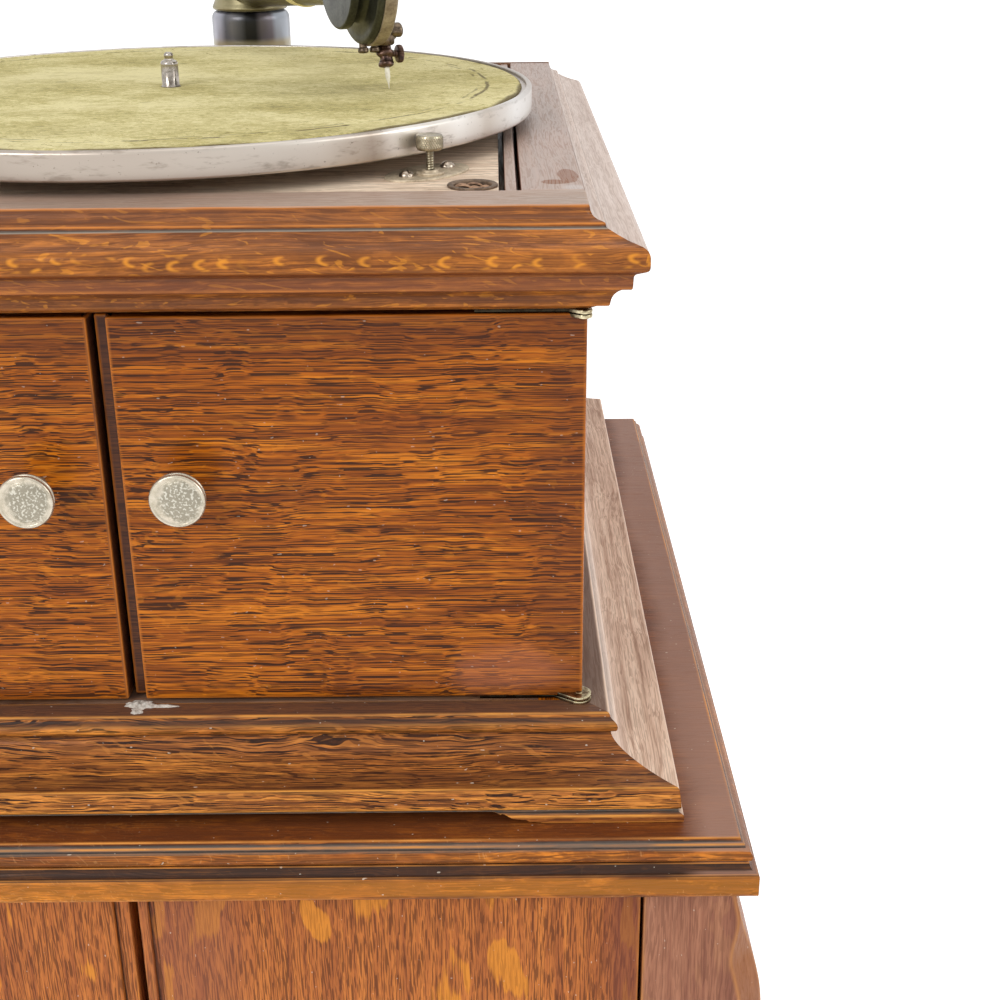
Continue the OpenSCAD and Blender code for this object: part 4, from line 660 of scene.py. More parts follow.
def turned_plate(name, centre, stops, metal, rough, rag=0.03, foot=None, stains=0.0):
    """Plate on a turned part: bright and dark stripes from a ramp over the angle about its middle line,
    painted reflections and highlights, their edges ragged by noise; foot is (height, colour) of a band
    of painted reflection round the foot."""
    f = Finish(name)
    x, y, z = f.parts(f.seen_from(*centre, Z_TOP))
    blot = f.noise((40, 40, 8), 3, 0.6)
    fine = f.noise((900,) * 3, 3, 0.6)
    turn = f.scaled(f.sum("ARCTAN2", y, x), 1 / (2 * math.pi), 0.5)
    turn = f.scaled(f.swing(blot), rag, turn)
    colour = f.tones(turn, *[(at, rgb(*c)) for at, c in stops])
    if foot:
        low = foot[0] / 1000
        # Painted reflection of the board round the foot.
        foot_reflection = f.fade(f.scaled(f.swing(blot), 0.002, z), low - 0.002, low + 0.0018, 0.8, 0.0)
        colour = f.laid(foot_reflection, colour, foot[1])
    if stains:
        stain = f.fade(f.noise((60, 60, 240), 4, 0.7, (3, 8, 1)), 0.52, 0.68, 0.0, stains)
        colour = f.laid(stain, colour, (132, 118, 104))
        speck = f.fade(f.noise((700,) * 3, 2, 0.6, (1, 1, 4)), 0.68, 0.74, 0.0, stains)
        colour = f.laid(speck, colour, (90, 78, 66))
    return f.shade(base=colour, metal=metal, rough=f.scaled(fine, 0.12, rough),
                   normal=f.bump(fine, 0.06, 0.00006))


def felt_finish():
    """Olive straw felt: blotches and short matted hairs, a darker worn crease ring by the distance
    from the spindle, broken by noise, and a dark edge."""
    f = Finish("turntable_felt")
    x, y, _ = f.parts(f.seen_from(*SPINDLE, 0))
    away = f.length(x, y)
    wide = f.noise((18, 30, 20), 4, 0.6, (1, 2, 0))
    mat = f.noise((260, 420, 300), 4, 0.75, lean=1.2)
    hair = f.noise((900, 1500, 900), 3, 0.8, lean=2.0)
    body = f.scaled(mat, 0.55, f.scaled(hair, 0.35, f.times(wide, 0.5)))
    colour = f.tones(body, (0.50, rgb(112, 98, 42)), (0.64, rgb(192, 178, 110)), (0.78, rgb(236, 224, 170)))
    dusty = f.fade(f.noise((9, 14, 9), 3, 0.6, (4, 0, 0)), 0.45, 0.7)
    colour = f.laid(f.times(dusty, 0.3), colour, (224, 212, 164))
    matted = f.fade(f.noise((44, 70, 44), 4, 0.65, (9, 2, 0)), 0.5, 0.72, 0.0, 0.4)
    colour = f.laid(matted, colour, (170, 152, 78))
    wander = f.scaled(f.swing(f.noise((30, 30, 30), 2, 0.5)), 0.006, away)
    near = f.size(f.less(wander, CREASE / 1000))
    gaps = f.fade(f.noise((70, 70, 70), 3, 0.7, (7, 0, 0)), 0.42, 0.56)
    line = f.times(f.fade(near, 0.0003, 0.0011, 1.0, 0.0), gaps)
    second = f.size(f.less(wander, (CREASE - 3.6) / 1000))
    breaks = f.fade(f.noise((50, 50, 50), 2, 0.6, (3, 9, 0)), 0.52, 0.6)
    line = f.sum("MAXIMUM", line, f.times(f.fade(second, 0.0002, 0.0008, 0.7, 0.0), breaks))
    colour = f.laid(f.times(line, 0.85), colour, (72, 54, 30))
    edge = f.fade(wander, 0.1462, 0.1476)
    colour = f.laid(f.times(edge, 0.85), colour, (80, 62, 36))
    stain = f.fade(f.noise((40, 40, 40), 2, 0.6, (2, 6, 1)), 0.68, 0.74, 0.0, 0.35)
    colour = f.laid(stain, colour, (120, 108, 60))
    relief = f.scaled(line, -0.8, f.plus(mat, f.times(hair, 0.6)))
    return f.shade(base=colour, rough=0.95, sheen=0.35, sheen_rough=0.5, sheen_tint=rgb(236, 228, 190),
                   spec=0.1, normal=f.bump(relief, 0.8, 0.0006))


def plain_finish(name, light, dark, rough=0.7, scale=200.0):
    """Dull matter of one hue with cloudy tone and a rough skin."""
    f = Finish(name)
    n = f.noise((scale,) * 3, 4, 0.65)
    return f.shade(base=f.tones(n, (0.35, rgb(*dark)), (0.65, rgb(*light))), rough=rough, spec=0.3,
                   normal=f.bump(n, 0.4, 0.0003))


def knob_finish():
    """Dull nickel, smooth and bright near the rim; over the middle, by the distance from the knob's
    own line, it is worn grey with raised pale dots."""
    f = Finish("knob_nickel")
    x, y, z = f.parts(f.place)
    aside = f.less(f.size(f.less(x, 0.0012)), KNOB_X / 1000)
    middle = f.scaled(f.sum("GREATER_THAN", z, 0.7), (UP_KNOB_Z - LOW_KNOB_Z) / 1000, LOW_KNOB_Z / 1000)
    level = f.less(z, middle)
    away = f.length(aside, level)
    blot = f.noise((420,) * 3, 3, 0.6)
    worn = f.fade(f.scaled(f.swing(blot), 0.006, away), 0.0056, 0.0082, 1.0, 0.0)
    dots = f.fade(f.noise((1250,) * 3, 1, 0.5, (3, 1, 2)), 0.53, 0.62)
    colour = f.tones(blot, (0.35, rgb(184, 174, 154)), (0.65, rgb(206, 196, 178)))
    grey = f.blend(dots, (*rgb(138, 132, 116), 1), (*rgb(206, 202, 188), 1))
    colour = f.blend(f.times(worn, 0.8), colour, grey)
    skin = f.scaled(worn, 0.16, 0.26)
    return f.shade(base=colour, metal=0.75, rough=skin, normal=f.bump(f.times(worn, dots), 0.35, 0.00015))


# Bright and dark stripes round the bracket's barrel: painted reflections of the surroundings.
BARREL_PAINTED_REFLECTIONS = ((0.0, (96, 96, 104)), (0.05, (140, 142, 152)), (0.09, (176, 176, 188)),
                  (0.135, (156, 156, 168)), (0.165, (90, 90, 96)), (0.195, (108, 106, 110)),
                  (0.235, (74, 74, 78)), (0.258, (24, 24, 26)), (0.296, (24, 24, 26)), (0.318, (92, 86, 90)),
                  (0.362, (104, 98, 104)), (0.385, (152, 158, 168)), (0.46, (172, 178, 188)),
                  (0.5, (110, 114, 124)), (0.58, (60, 62, 68)), (0.7, (150, 152, 160)), (0.8, (50, 52, 58)),
                  (0.9, (120, 122, 130)))
# Bright and dull stripes round the platter's rim: painted highlights and reflections.
RIM_PAINTED_HIGHLIGHTS = ((0.0, (178, 168, 156)), (0.12, (194, 184, 174)), (0.2, (180, 168, 156)),
               (0.27, (188, 176, 164)), (0.335, (206, 198, 188)), (0.357, (168, 154, 140)),
               (0.368, (240, 234, 226)), (0.385, (224, 216, 206)), (0.4, (240, 236, 230)),
               (0.42, (196, 184, 172)), (0.45, (224, 220, 216)), (0.49, (190, 180, 172)),
               (0.6, (170, 162, 154)), (0.8, (206, 200, 196)), (1.0, (190, 184, 176)))
# The bracket's stripes and its beige foot band are painted reflections.
bracket_plate = turned_plate("bracket_plate", BRACKET, BARREL_PAINTED_REFLECTIONS, 0.4, 0.24,
                             foot=(16.8, (176, 164, 126)))
spun_rim = turned_plate("spun_rim", SPINDLE, RIM_PAINTED_HIGHLIGHTS, 0.85, 0.3, rag=0.012, stains=0.5)
felt = felt_finish()
nickel = knob_finish()
mica = plain_finish("diaphragm_mica", (176, 168, 140), (128, 120, 96), 0.25, 90)
chip_wood = plain_finish("chip_wood", (176, 138, 108), (92, 66, 48), 0.7, 260)
putty = plain_finish("old_putty", (216, 210, 200), (160, 152, 142), 0.75, 500)
needle_white = plain_finish("needle_steel", (244, 240, 226), (214, 208, 190), 0.25, 400)
nap_fibre = plain_finish("nap_fibre", (226, 214, 158), (150, 136, 84), 0.9, 60)


# ---------------------------------------------------------------- mouldings
def mitred(poly, z0, side, radius=0.7, steps=120, shape=None):
    """A moulding profile (out, up) carried along the front (side 0: x = s (half + out)) or a side
    (side 1 or -1: y goes from the mitre at the front to the back), mitred where they meet.
    shape(out, up, s in mm) moves the profile's points where the wood is broken or worn."""
    loop, mark = soft_loop(anticlockwise(poly), radius)
    s = np.linspace(-1, 1, steps)[:, None] if side == 0 else np.linspace(0, 1, steps)[:, None]
    out, up = loop[None, :, 0] + 0 * s, loop[None, :, 1] + 0 * s
    run = s * HALF if side == 0 else s * (Y_BACK - Y_DOOR)
    if shape is not None:
        out, up = shape(out, up, run)
    girth = np.cumsum(np.r_[0, np.linalg.norm(np.diff(loop, axis=0), axis=1)])[None]
    rub = np.abs(0.10 * drift(run / 9, girth / 6, z0 + side) * (np.abs(mark)[None] > 0.2))
    n = outward(loop)
    out, up = (out - rub * n[None, :, 0] * np.sign(out.clip(0.01)), up - rub * n[None, :, 1] * (out > 1))
    if side == 0:
        pts = np.stack([s * (HALF + out), Y_DOOR - out, z0 + up], -1)
    else:
        y0 = Y_DOOR - out
        pts = np.stack([side * (HALF + out), y0 + (Y_BACK - y0) * s, z0 + up], -1)
    return lofted(pts, mark[None] + 0 * s)


CORNICE = ([[0, 0], [0.3, -1.8]] + arc(4.1, -1.8, 3.6, 2.7, 190, 265, 5)
           + [[5, -4.9], [5, -6.2], [8.4, -7.8], [11.8, -9.1]] + arc(15.2, -13.4, 3, 3.4, 80, 0, 5)
           + [[18.2, -16.2]] + arc(16.6, -16.2, 1.6, 1.8, 0, -70, 3)
           + [[14, -19.4], [13.5, -20.2], [13.3, -24.3], [12.7, -24.8]] + arc(12.7, -31.4, 6, 6.6, 90, 178, 6)
           + [[6.3, -31.9], [3.6, -32.3], [0, -34.5]])
PLINTH = ([[0, 0], [25, 0], [34, 0], [34, 3], [32, 3.4], [32, 4.6], [33.2, 5.1], [32.3, 12.2], [32, 13]]
          + arc(32, 22.1, 22.2, 9.1, 270, 180, 12) + arc(9.8, 24.6, 2.4, 2.5, 270, 400, 6)
          + [[9.8, 27.3], [9.2, 29.2], [0, 29.2]])
TOP_EDGE = ([[-40, 0], [-9, 0], [-6.2, 0], [-6, -1.2], [-4.8, -1.8], [-4.8, -3.1]]
            + arc(-4.9, -5.6, 2.6, 2.5, 75, -75, 8) + [[-3.2, -8.3], [-3.2, -8.9]]
            + arc(-0.6, -9.0, 2.4, 2.1, 200, 270, 4)
            + [[0, -11.7], [0, -19.6], [-0.5, -20.1], [-3.4, -20.1], [-3.8, -19], [-40, -19]])


def broken_lip(out, up, x):
    """The lip's underside is lifted to 3.6 where the lip is gone, along a sloping, splintered
    break: higher by noise, and drawn in to the band once nothing of the lip is left."""
    splinter = 0.9 * drift(x / 3.0, 0, 5) + 0.5 * drift(x / 0.9, 0, 8)
    left = np.clip((x + 77 + 2 * splinter) / 13, 0, 1)
    right = np.clip((121 - x + 3 * splinter) / 13, 0, 1)
    inside = np.minimum(left, right)
    lift = inside * 3.7
    lift = lift + 0.25 * splinter * (inside > 0.02) * (inside < 0.98)
    lift = np.clip(lift, 0, 3.7)
    low = (up < lift) & (out > 10)
    gone = np.clip((lift - 2.6) / 1.0, 0, 1)
    out = np.where((up < 4.0) & (out > 32), out - (out - 31.9) * gone, out)
    return out, np.where(low, lift, up)


made("front_cornice", mitred(CORNICE, Z_TOP, 0, 0.6, 180), "cabinet", "cornice_front",
     cornice_front_oak, sharp=50)
made("side_cornices", joined(mitred(CORNICE, Z_TOP, 1, 0.6, 120), mitred(CORNICE, Z_TOP, -1, 0.6, 120)),
     "cabinet", "cornice_sides", cornice_side_oak, sharp=50)
made("front_plinth", mitred(PLINTH, Z_FOOT, 0, 0.6, 520, broken_lip), "cabinet", "plinth_front",
     plinth_front_oak, sharp=50)
made("side_plinths", joined(mitred(PLINTH, Z_FOOT, 1, 0.6, 120), mitred(PLINTH, Z_FOOT, -1, 0.6, 120)),
     "cabinet", "plinth_sides", plinth_side_oak, sharp=50)


def top_board():
    """The moulded edge carried round a rectangle: a ring for each point of the edge profile, each
    ring standing out by that point's number, its back on the cabinet's back."""
    loop, mark = soft_loop(anticlockwise(TOP_EDGE), 0.6)
    loop, mark = loop[5:-5], mark[5:-5]
    out, up = loop[:, 0][:, None], loop[:, 1][:, None]
    wide, front = 220.2 + out, Y_LOW - 14.5 - out
    s, t = np.linspace(-1, 1, 160)[None], np.linspace(0, 1, 120)[None]
    one = np.ones((len(loop), 1))
    wear = 0.07 * drift(s * 40, np.arange(len(loop))[:, None] / 4, 3) * (np.abs(mark)[:, None] > 0.2)
    x = np.hstack([wide * s, wide * one * (1 + 0 * t[:, 1:]), wide * s[:, ::-1][:, 1:],
                   -wide * (1 + 0 * t[:, 1:-1])])
    y = np.hstack([front * one + 0 * s + np.abs(wear), (front + (Y_BACK - front) * t)[:, 1:],
                   Y_BACK * one * (1 + 0 * s[:, 1:]), (Y_BACK + (front - Y_BACK) * t)[:, 1:-1]])
    pts = np.stack([x, y, Z_FOOT + up + 0 * x], -1)
    return lofted(pts, mark[:, None] + 0 * x)


made("moulded_top", top_board(), "cabinet", "cabinet_top", top_oak, sharp=50)


# ---------------------------------------------------------------- doors, posts and rails
def upper_door(tongue):
    """A plain slab with softened arrises, carried up. The right one has a tongue behind the gap."""
    x0, y0, y1 = GAP_EDGE, Y_DOOR, Y_DOOR + UP_THICK
    poly = [[x0, y0], [HALF, y0], [HALF, y1]]
    poly += [[x0 - TONGUE, y1], [x0 - TONGUE, y0 + 4], [x0, y0 + 4]] if tongue else [[x0, y1]]
    return carried(poly, LEDGE + UP_CLEAR, HEAD - UP_CLEAR, "Z", 0.9, 0.7)


def mirrored(part):
    """The same surface on the other side of the middle."""
    pts, faces, marks = part
    return pts * np.array([-1, 1, 1]), [g[:, ::-1] for g in faces], marks


def lower_door():
    """A slab whose face has a run bead beside the gap, between two narrow grooves, carried up."""
    y0, y1 = Y_LOW, Y_LOW + LOW_THICK
    poly = [[1.5, y0], [4.6, y0], [5.0, y0 + 0.5], [5.1, y0 + 2], [7.2, y0 + 2], [7.4, y0 + 0.3], [8, y0],
            [LOW_END, y0], [LOW_END, y1], [1.5, y1]]
    return carried(poly, LOW_FOOT, LOW_HEAD, "Z", 0.7, 0.7)


made("right_upper_door", upper_door(True), "upper_door_right", "upper_door_right", door_oak)
made("left_upper_door", mirrored(upper_door(False)), "upper_door_left", "upper_door_left",
     door_oak)
made("right_lower_door", lower_door(), "lower_door_right", "lower_door_right", low_door_oak)
made("left_lower_door", mirrored(lower_door()), "lower_door_left", "lower_door_left",
     low_door_oak)


def post_edge(z):
    """Outer edge of a post at height z: knee, ankle and foot joined by smooth curves."""
    knee = POST_X + POST_W + 14.5 * (1 - ease((z - KNEE_Z) / (Z_UNDER - KNEE_Z)))
    calf = POST_X + 25 + 21.5 * ease((z - CALF_Z) / (KNEE_Z - CALF_Z))
    foot = POST_X + 31 - 6 * ease((z - TOE_Z) / (CALF_Z - TOE_Z))
    toe = POST_X + 31 - 4 * (1 - np.sqrt(np.clip(1 - np.clip(1 - z / TOE_Z, 0, 1) ** 2, 0, 1)))
    return np.where(z > KNEE_Z, knee, np.where(z > CALF_Z, calf, np.where(z > TOE_Z, foot, toe)))


def at_heights(rings, heights):
    """Flat rings (k, m, 2), each put at its own height."""
    return np.concatenate([rings, np.zeros(rings.shape[:2] + (1,)) + heights[:, None, None]], -1)


def post(front):
    """Rings of a five-sided outline up the post: its outer arris is cut to a facet whose width
    follows the height, and its corners are softened."""
    z = np.concatenate([np.linspace(0, TOE_Z, 14), np.linspace(TOE_Z, CALF_Z, 22)[1:],
                        np.linspace(CALF_Z, KNEE_Z, 60)[1:], np.linspace(KNEE_Z, Z_UNDER, 34)[1:]])
    x, one = post_edge(z), np.ones(len(z))
    c = 0.8 + 8.2 * ease((701 - z) / 26) * ease((z - TOE_Z) / 60)
    if front:
        y0, y1 = Y_LOW, Y_LOW + POST_D
        poly = [[POST_X * one, y0 * one], [x - c, y0 * one], [x, (y0 + c)], [x, y1 * one],
                [POST_X * one, y1 * one]]
    else:
        y0, y1 = Y_BACK - POST_D, Y_BACK
        poly = [[POST_X * one, y0 * one], [x, y0 * one], [x, y1 - c], [x - c, y1 * one],
                [POST_X * one, y1 * one]]
    rings = np.stack([np.stack(p, -1) for p in poly], 1)
    loop, mark = soft_loop(rings, 0.9)
    under = np.minimum(1.2, z)[:, None] - 1.2
    loop = loop + outward(loop) * under[..., None]
    return lofted(at_heights(loop, z), mark)


made("right_front_post", post(True), "cabinet", "post_front_right", post_oak)
made("left_front_post", mirrored(post(True)), "cabinet", "post_front_left", post_oak)
made("back_posts", joined(post(False), mirrored(post(False))), "cabinet", "rear_posts", post_oak)


def box_outline(a0, a1, b0, b1):
    """Rectangle between two values of each of an outline's two numbers."""
    return [[a0, b0], [a1, b0], [a1, b1], [a0, b1]]


def leaf(r, back, x, y, low, pin=0.0):
    """A pivot hinge's leaf: its outline is the round end about the pin, joined by a slanting front
    edge to the tail let in behind the door's face, carried up; with pin, a low domed head on top."""
    front = 0.8 - back
    tail = [[-2 * r, front + 6], [-36, front + 6], [-36, front], [-2 * r, front]]
    plan = arc(0, 0, r, r, -116, 72, 26) + tail
    loop, mark = soft_loop(anticlockwise((np.array(plan) + [x, y]).tolist()), 0.2)
    inset = np.array([0.9, 0.35, 0.1, 0, 0, 0.1, 0.35, 0.9])
    up = np.array([0, 0, 0.1, 0.35, 0.95, 1.2, 1.3, 1.3])
    rings = loop[None] - outward(loop)[None] * inset[:, None, None]
    # The tail, let in behind the door's face, is marked dark: painted shade between door and case.
    shaded_tail = np.where(loop[:, 0] < x - 1.45 * r, -1.0, 0.0)
    part = lofted(at_heights(rings, low + up), shaded_tail[None] + 0 * inset[:, None])
    if pin:
        head = spun([[0, 1.2], [1.5, 1.2], [1.5, 1.35]] + arc(0, 1.35, 1.5, pin, 0, 88, 6), 40)
        part = joined(part, placed(head, (x, y, low)))
    return part


UP_LEAF, HEAD_LEAF = (4.5, 0.3, HALF - 1.2, Y_DOOR + 0.3), (2.8, 0.3, HALF - 1.2, Y_DOOR + 0.3)
LOW_LEAF = (3.2, 1.5, 178.9, Y_LOW + 1.5)
up_leaves = joined(leaf(*UP_LEAF, LEDGE + UP_CLEAR, 0.35), leaf(*HEAD_LEAF, HEAD - 2.9))
low_leaves = joined(leaf(*LOW_LEAF, LOW_FOOT), leaf(*LOW_LEAF, 718.1))
case_leaves = joined(leaf(*UP_LEAF, LEDGE), leaf(*HEAD_LEAF, HEAD - 1.3), leaf(*LOW_LEAF, 114.0),
                     leaf(*LOW_LEAF, 719.7))
for side, turned in (("right", lambda part: part), ("left", mirrored)):
    made(f"upper_hinge_leaves_{side}", turned(up_leaves), f"upper_door_{side}", f"upper_leaves_{side}",
         leaf_metal, sharp=40)
    made(f"lower_hinge_leaves_{side}", turned(low_leaves), f"lower_door_{side}", f"lower_leaves_{side}",
         leaf_metal, sharp=40)
made("case_hinge_leaves", joined(case_leaves, mirrored(case_leaves)), "cabinet", "fixed_leaves",
     leaf_metal, sharp=40)

RAIL_X, BEAD_X, BOARD_X = 140.2, 134.8, 132.7       # inner edges of rail and strip, and the board's end
made("front_frame_rail", joined(
    carried(box_outline(Y_DOOR, Y_DOOR + 23, HEAD, Z_TOP), -HALF, HALF, "X", 0.5, 0.3, 60),
    carried(box_outline(Y_DOOR + 22, Y_DOOR + 30, Z_TOP - 20, BOARD_UNDER), -RAIL_X, RAIL_X, "X", 0.5, 0.3)),
    "cabinet", "frame_front_rail", rail_front_oak)
side_rail = joined(
    carried(box_outline(Z_TOP - 20, Z_TOP, RAIL_X, HALF), Y_DOOR + 23, Y_BACK - 5, "Y", 0.6, 0.3, 40),
    carried(box_outline(Z_TOP - 20, BOARD_UNDER, BOARD_X - 3, RAIL_X + 0.5), Y_DOOR + 30, Y_BACK - 5, "Y",
            0.4, 0.3))
made("side_frame_rails", joined(side_rail, mirrored(side_rail)), "cabinet", "frame_side_rails",
     rail_side_oak)
strip = carried(box_outline(BOARD_UNDER, Z_TOP - 0.5, BEAD_X, BEAD_X + 4), Y_DOOR + 23.2, Y_BACK - 5, "Y",
                0.8, 0.4, 30)
made("bead_strip_pair", joined(strip, mirrored(strip)), "cabinet", "bead_strips", rail_side_oak)


# ---------------------------------------------------------------- knobs
def door_knob(x, y, z):
    """Stem, flared neck, back ring, rolled rim and low dome of the head, turned about the line out
    of the door."""
    profile = ([[0, -9], [2.5, -9], [2.5, -0.2], [2.35, 0.4], [2.35, 8.6], [3.0, 11.0], [4.6, 12.2],
                [7.9, 12.6]] + arc(8.45, 13.3, 0.65, 0.65, -85, 85, 8) + [[8.35, 14.2], [8.4, 14.9]]
               + arc(8.4, 16.1, 1.15, 1.15, -75, 70, 10) + [[8.2, 16.95]]
               + arc(0, 13.6, 11.2, 4.35, 46, 89.6, 22) + [[0, 17.95]])
    return placed(spun(profile, 96), (x, y, z), pointing((0, -1, 0)))


for level, y, z in (("upper", Y_DOOR, UP_KNOB_Z), ("lower", Y_LOW, LOW_KNOB_Z)):
    for side, x in (("right", KNOB_X), ("left", -KNOB_X)):
        key = f"{level}_knob_{side}"
        made("domed_" + key, door_knob(x, y, z), f"{level}_door_{side}", key, nickel, sharp=50)


# ---------------------------------------------------------------- turntable
def platter():
    """The turned dish: hub, web and a deep rim, its outer face with rounded lips, spun about the
    spindle; the rim's face waves by a hair as an old one does."""
    profile = ([[4.05, 4.6], [14, 4.6], [16, 11.6], [149.9, 11.6], [150, 5.6]]
               + arc(150.9, 5.7, 0.9, 0.9, 180, 270, 4) + arc(151.4, 5.8, 1.0, 1.0, 270, 360, 6)
               + [[152.4, 8], [152.4, 12.5]] + arc(151.0, 13.9, 1.4, 1.4, 0, 90, 8)
               + arc(150.6, 14.7, 0.6, 0.6, 90, 180, 4) + [[149.9, 13.7], [4.05, 13.7]])
    ripple = lambda a, h, r: 0.04 * np.sin(7 * a) * np.sin(h) * (r > 150)
    return placed(spun(profile, 360, ripple), (*SPINDLE, Z_TOP))


def felt_mat():
    """A disc of rings, its top raised by matted noise of two sizes, sunk at the old crease ring,
    and thinned over the last millimetre to a frayed edge."""
    steps = 420
    a = around(steps)
    r = np.concatenate([np.linspace(4.4, 130, 96), np.linspace(130.6, 138, 28), np.linspace(138.8, 148, 26)])
    a, r = a[None], r[:, None]
    x, y = r * np.cos(a), r * np.sin(a)
    fuzz = 0.10 * drift(x / 3.1, y / 3.1, 2, 3) + 0.16 * drift(x / 14, y / 14, 4, 2)
    kept = drift(a * 9, 1, 6) > -0.25
    crease = -0.22 * np.exp(-((r - CREASE - 1.5 * drift(a * 6, 0, 5)) / 0.8) ** 2) * kept
    rim = np.clip((148.1 - r) / 1.4, 0, 1) ** 0.5
    fray = 0.35 * drift(a * 60, 0, 9)
    rr = np.where(r > 147, r + fray, r)
    x, y = rr * np.cos(a), rr * np.sin(a)
    top = 965.1 + 1.25 * rim + fuzz + crease
    pts = np.stack([x, y, top + 0 * x], -1)
    under = np.stack([x[[-1, 0]], y[[-1, 0]], np.full((2, steps), 964.85)], -1)
    whole = np.concatenate([pts, under])
    return placed((whole.reshape(-1, 3), [quads(len(whole), steps, close_n=True, close_m=True)], None),
                  (*SPINDLE, 0))


def felt_nap(count=1500, rings=5, sides=3):
    """Loose fibres on the felt: each is a thin three-sided tube along a random arc, lying on the
    felt and lifted by a few tenths of a millimetre in its middle. Random numbers come from sines."""
    k = np.arange(count)
    chance = lambda n: np.modf(np.abs(np.sin(k * 12.9898 + n * 78.233)) * 43758.5453)[0]
    r = np.sqrt(chance(1)) * 62 + 85
    a = chance(2) * 2 * math.pi
    head, bow, length = chance(3) * 2 * math.pi, (chance(4) - 0.5) * 2.4, 1.5 + 3.5 * chance(5) ** 2
    t = np.linspace(0, 1, rings)
    way = head[:, None] + bow[:, None] * t
    step = length[:, None] / (rings - 1)
    x = (r * np.cos(a))[:, None] + np.cumsum(np.cos(way) * step, 1)
    y = (r * np.sin(a))[:, None] + np.cumsum(np.sin(way) * step, 1)
    fit = 147.6 / np.maximum(np.hypot(x, y).max(1), 147.6)
    x, y = x * fit[:, None], y * fit[:, None]
    z = 966.26 + 0.42 * np.sin(math.pi * t)[None] * (0.3 + chance(6))[:, None]
    w = around(sides)
    thick = 0.055 * (0.6 + 0.8 * chance(7))[:, None, None] * np.array([0.35, 1, 1, 1, 0.35])[None, :, None]
    side = np.stack([-np.sin(way), np.cos(way)], -1)[:, :, None]
    pts = np.concatenate([np.stack([x, y], -1)[:, :, None] + side * (thick * np.cos(w))[..., None],
                          z[:, :, None, None] + (thick * np.sin(w))[..., None]], -1)
    first, ring = k[:, None] * rings * sides, np.arange(sides)[None]
    grid = quads(rings, sides, close_m=True)[None] + first[..., None]
    ends = np.stack([first + ring[:, ::-1], first + (rings - 1) * sides + ring]).reshape(-1, sides)
    return placed((pts.reshape(-1, 3), [grid.reshape(-1, 4), ends], None), (*SPINDLE, 0))


made("turned_platter", platter(), "turntable", "platter", spun_rim, sharp=60)
mat = made("turntable_felt", felt_mat(), "turntable", "felt_mat", felt, sharp=80)
nap = made("felt_fibres", felt_nap(), "turntable", (), nap_fibre, sharp=80)


def spindle():
    """Shaft, shoulder and waisted tip of the record pin, turned, with the motor's pinion and wheel
    as rings of teeth that follow a softened square wave of the angle."""
    pin = ([[0, -94], [4.0, -94], [4.0, 15.2]] + arc(3.4, 15.3, 0.5, 0.5, 0, 60, 3)
           + [[3.6, 15.8], [3.6, 24.2]] + arc(2.6, 24.4, 1.0, 1.4, 0, 80, 6)
           + [[2.15, 26.0], [1.75, 26.6], [1.9, 27.6]] + arc(0.9, 28.0, 1.0, 1.1, 0, 85, 5) + [[0, 29.1]])
    collar = [[4.0, 2.6], [6.6, 2.6], [7.0, 3.0], [7.0, 4.2], [6.6, 4.6], [4.0, 4.6]]
    teeth = lambda n: lambda a, h, r: np.where(r > n * 0.45, np.tanh(3 * np.cos(n * a)), 0)
    pinion = [[3.9, -34], [6.0, -34], [6.0, -27], [3.9, -27]]
    wheel = [[3.9, -60], [19.9, -60], [19.9, -54], [3.9, -54]]
    return joined(spun(pin, 64), spun(collar, 64), spun(pinion, 144, teeth(12)), spun(wheel, 400, teeth(40)))


made("record_pin", placed(spindle(), (*SPINDLE, Z_TOP)), "turntable", "spindle", bright_steel,
     sharp=40)


# ---------------------------------------------------------------- tone arm
ARM_UP, THICK_END, THIN_END = 52, 19.2, 7.5
BOX_ALONG, BOX_UP = 204.3, 62.1
STRAIGHT = 0.62                                     # share of the neck's run before its quarter circle


def arm_radius(s):
    """Radius of the arm at s along it: it falls evenly from the thick end to the thin one."""
    return THICK_END - (THICK_END - THIN_END) * (s - 4) / 146


def in_arm(pts):
    """From arm space (along the arm, to its right, up from the frame's top) to the part's frame."""
    pts = np.asarray(pts, float)
    base = np.array([*BRACKET, Z_TOP])
    return base + pts[..., :1] * ALONG + pts[..., 1:2] * ACROSS + pts[..., 2:] * np.array([0, 0, 1.0])


ARM_BASIS = np.stack([ALONG, ACROSS, [0, 0, 1.0]], -1)


def bracket():
    """Plated stand of the arm: a plain barrel with a softened foot and a rounded top, round a bore."""
    profile = ([[13.95, -2], [16.3, -2], [16.4, 0.2], [20.0, 0.2], [20.3, 0.6], [20.3, 26.5]]
               + arc(17.6, 26.8, 2.7, 4.0, 0, 85, 10) + [[17.2, 31], [13.95, 31]])
    return placed(spun(profile, 160), (*BRACKET, Z_TOP))


def neck_path(t):
    """Middle line of the gooseneck in arm space: it eases aside and up, then turns a quarter
    circle of 13 into the sound box."""
    u = t / STRAIGHT
    e = ease(u)
    first = np.stack([150 + 41.3 * u, -32 * e, ARM_UP + 10.1 * e], -1)
    a = np.radians(90) * (t - STRAIGHT) / (1 - STRAIGHT)
    last = np.stack([191.3 + 13 * np.sin(a), -19 - 13 * np.cos(a), BOX_UP + 0 * a], -1)
    return np.where((t < STRAIGHT)[:, None], first, last)


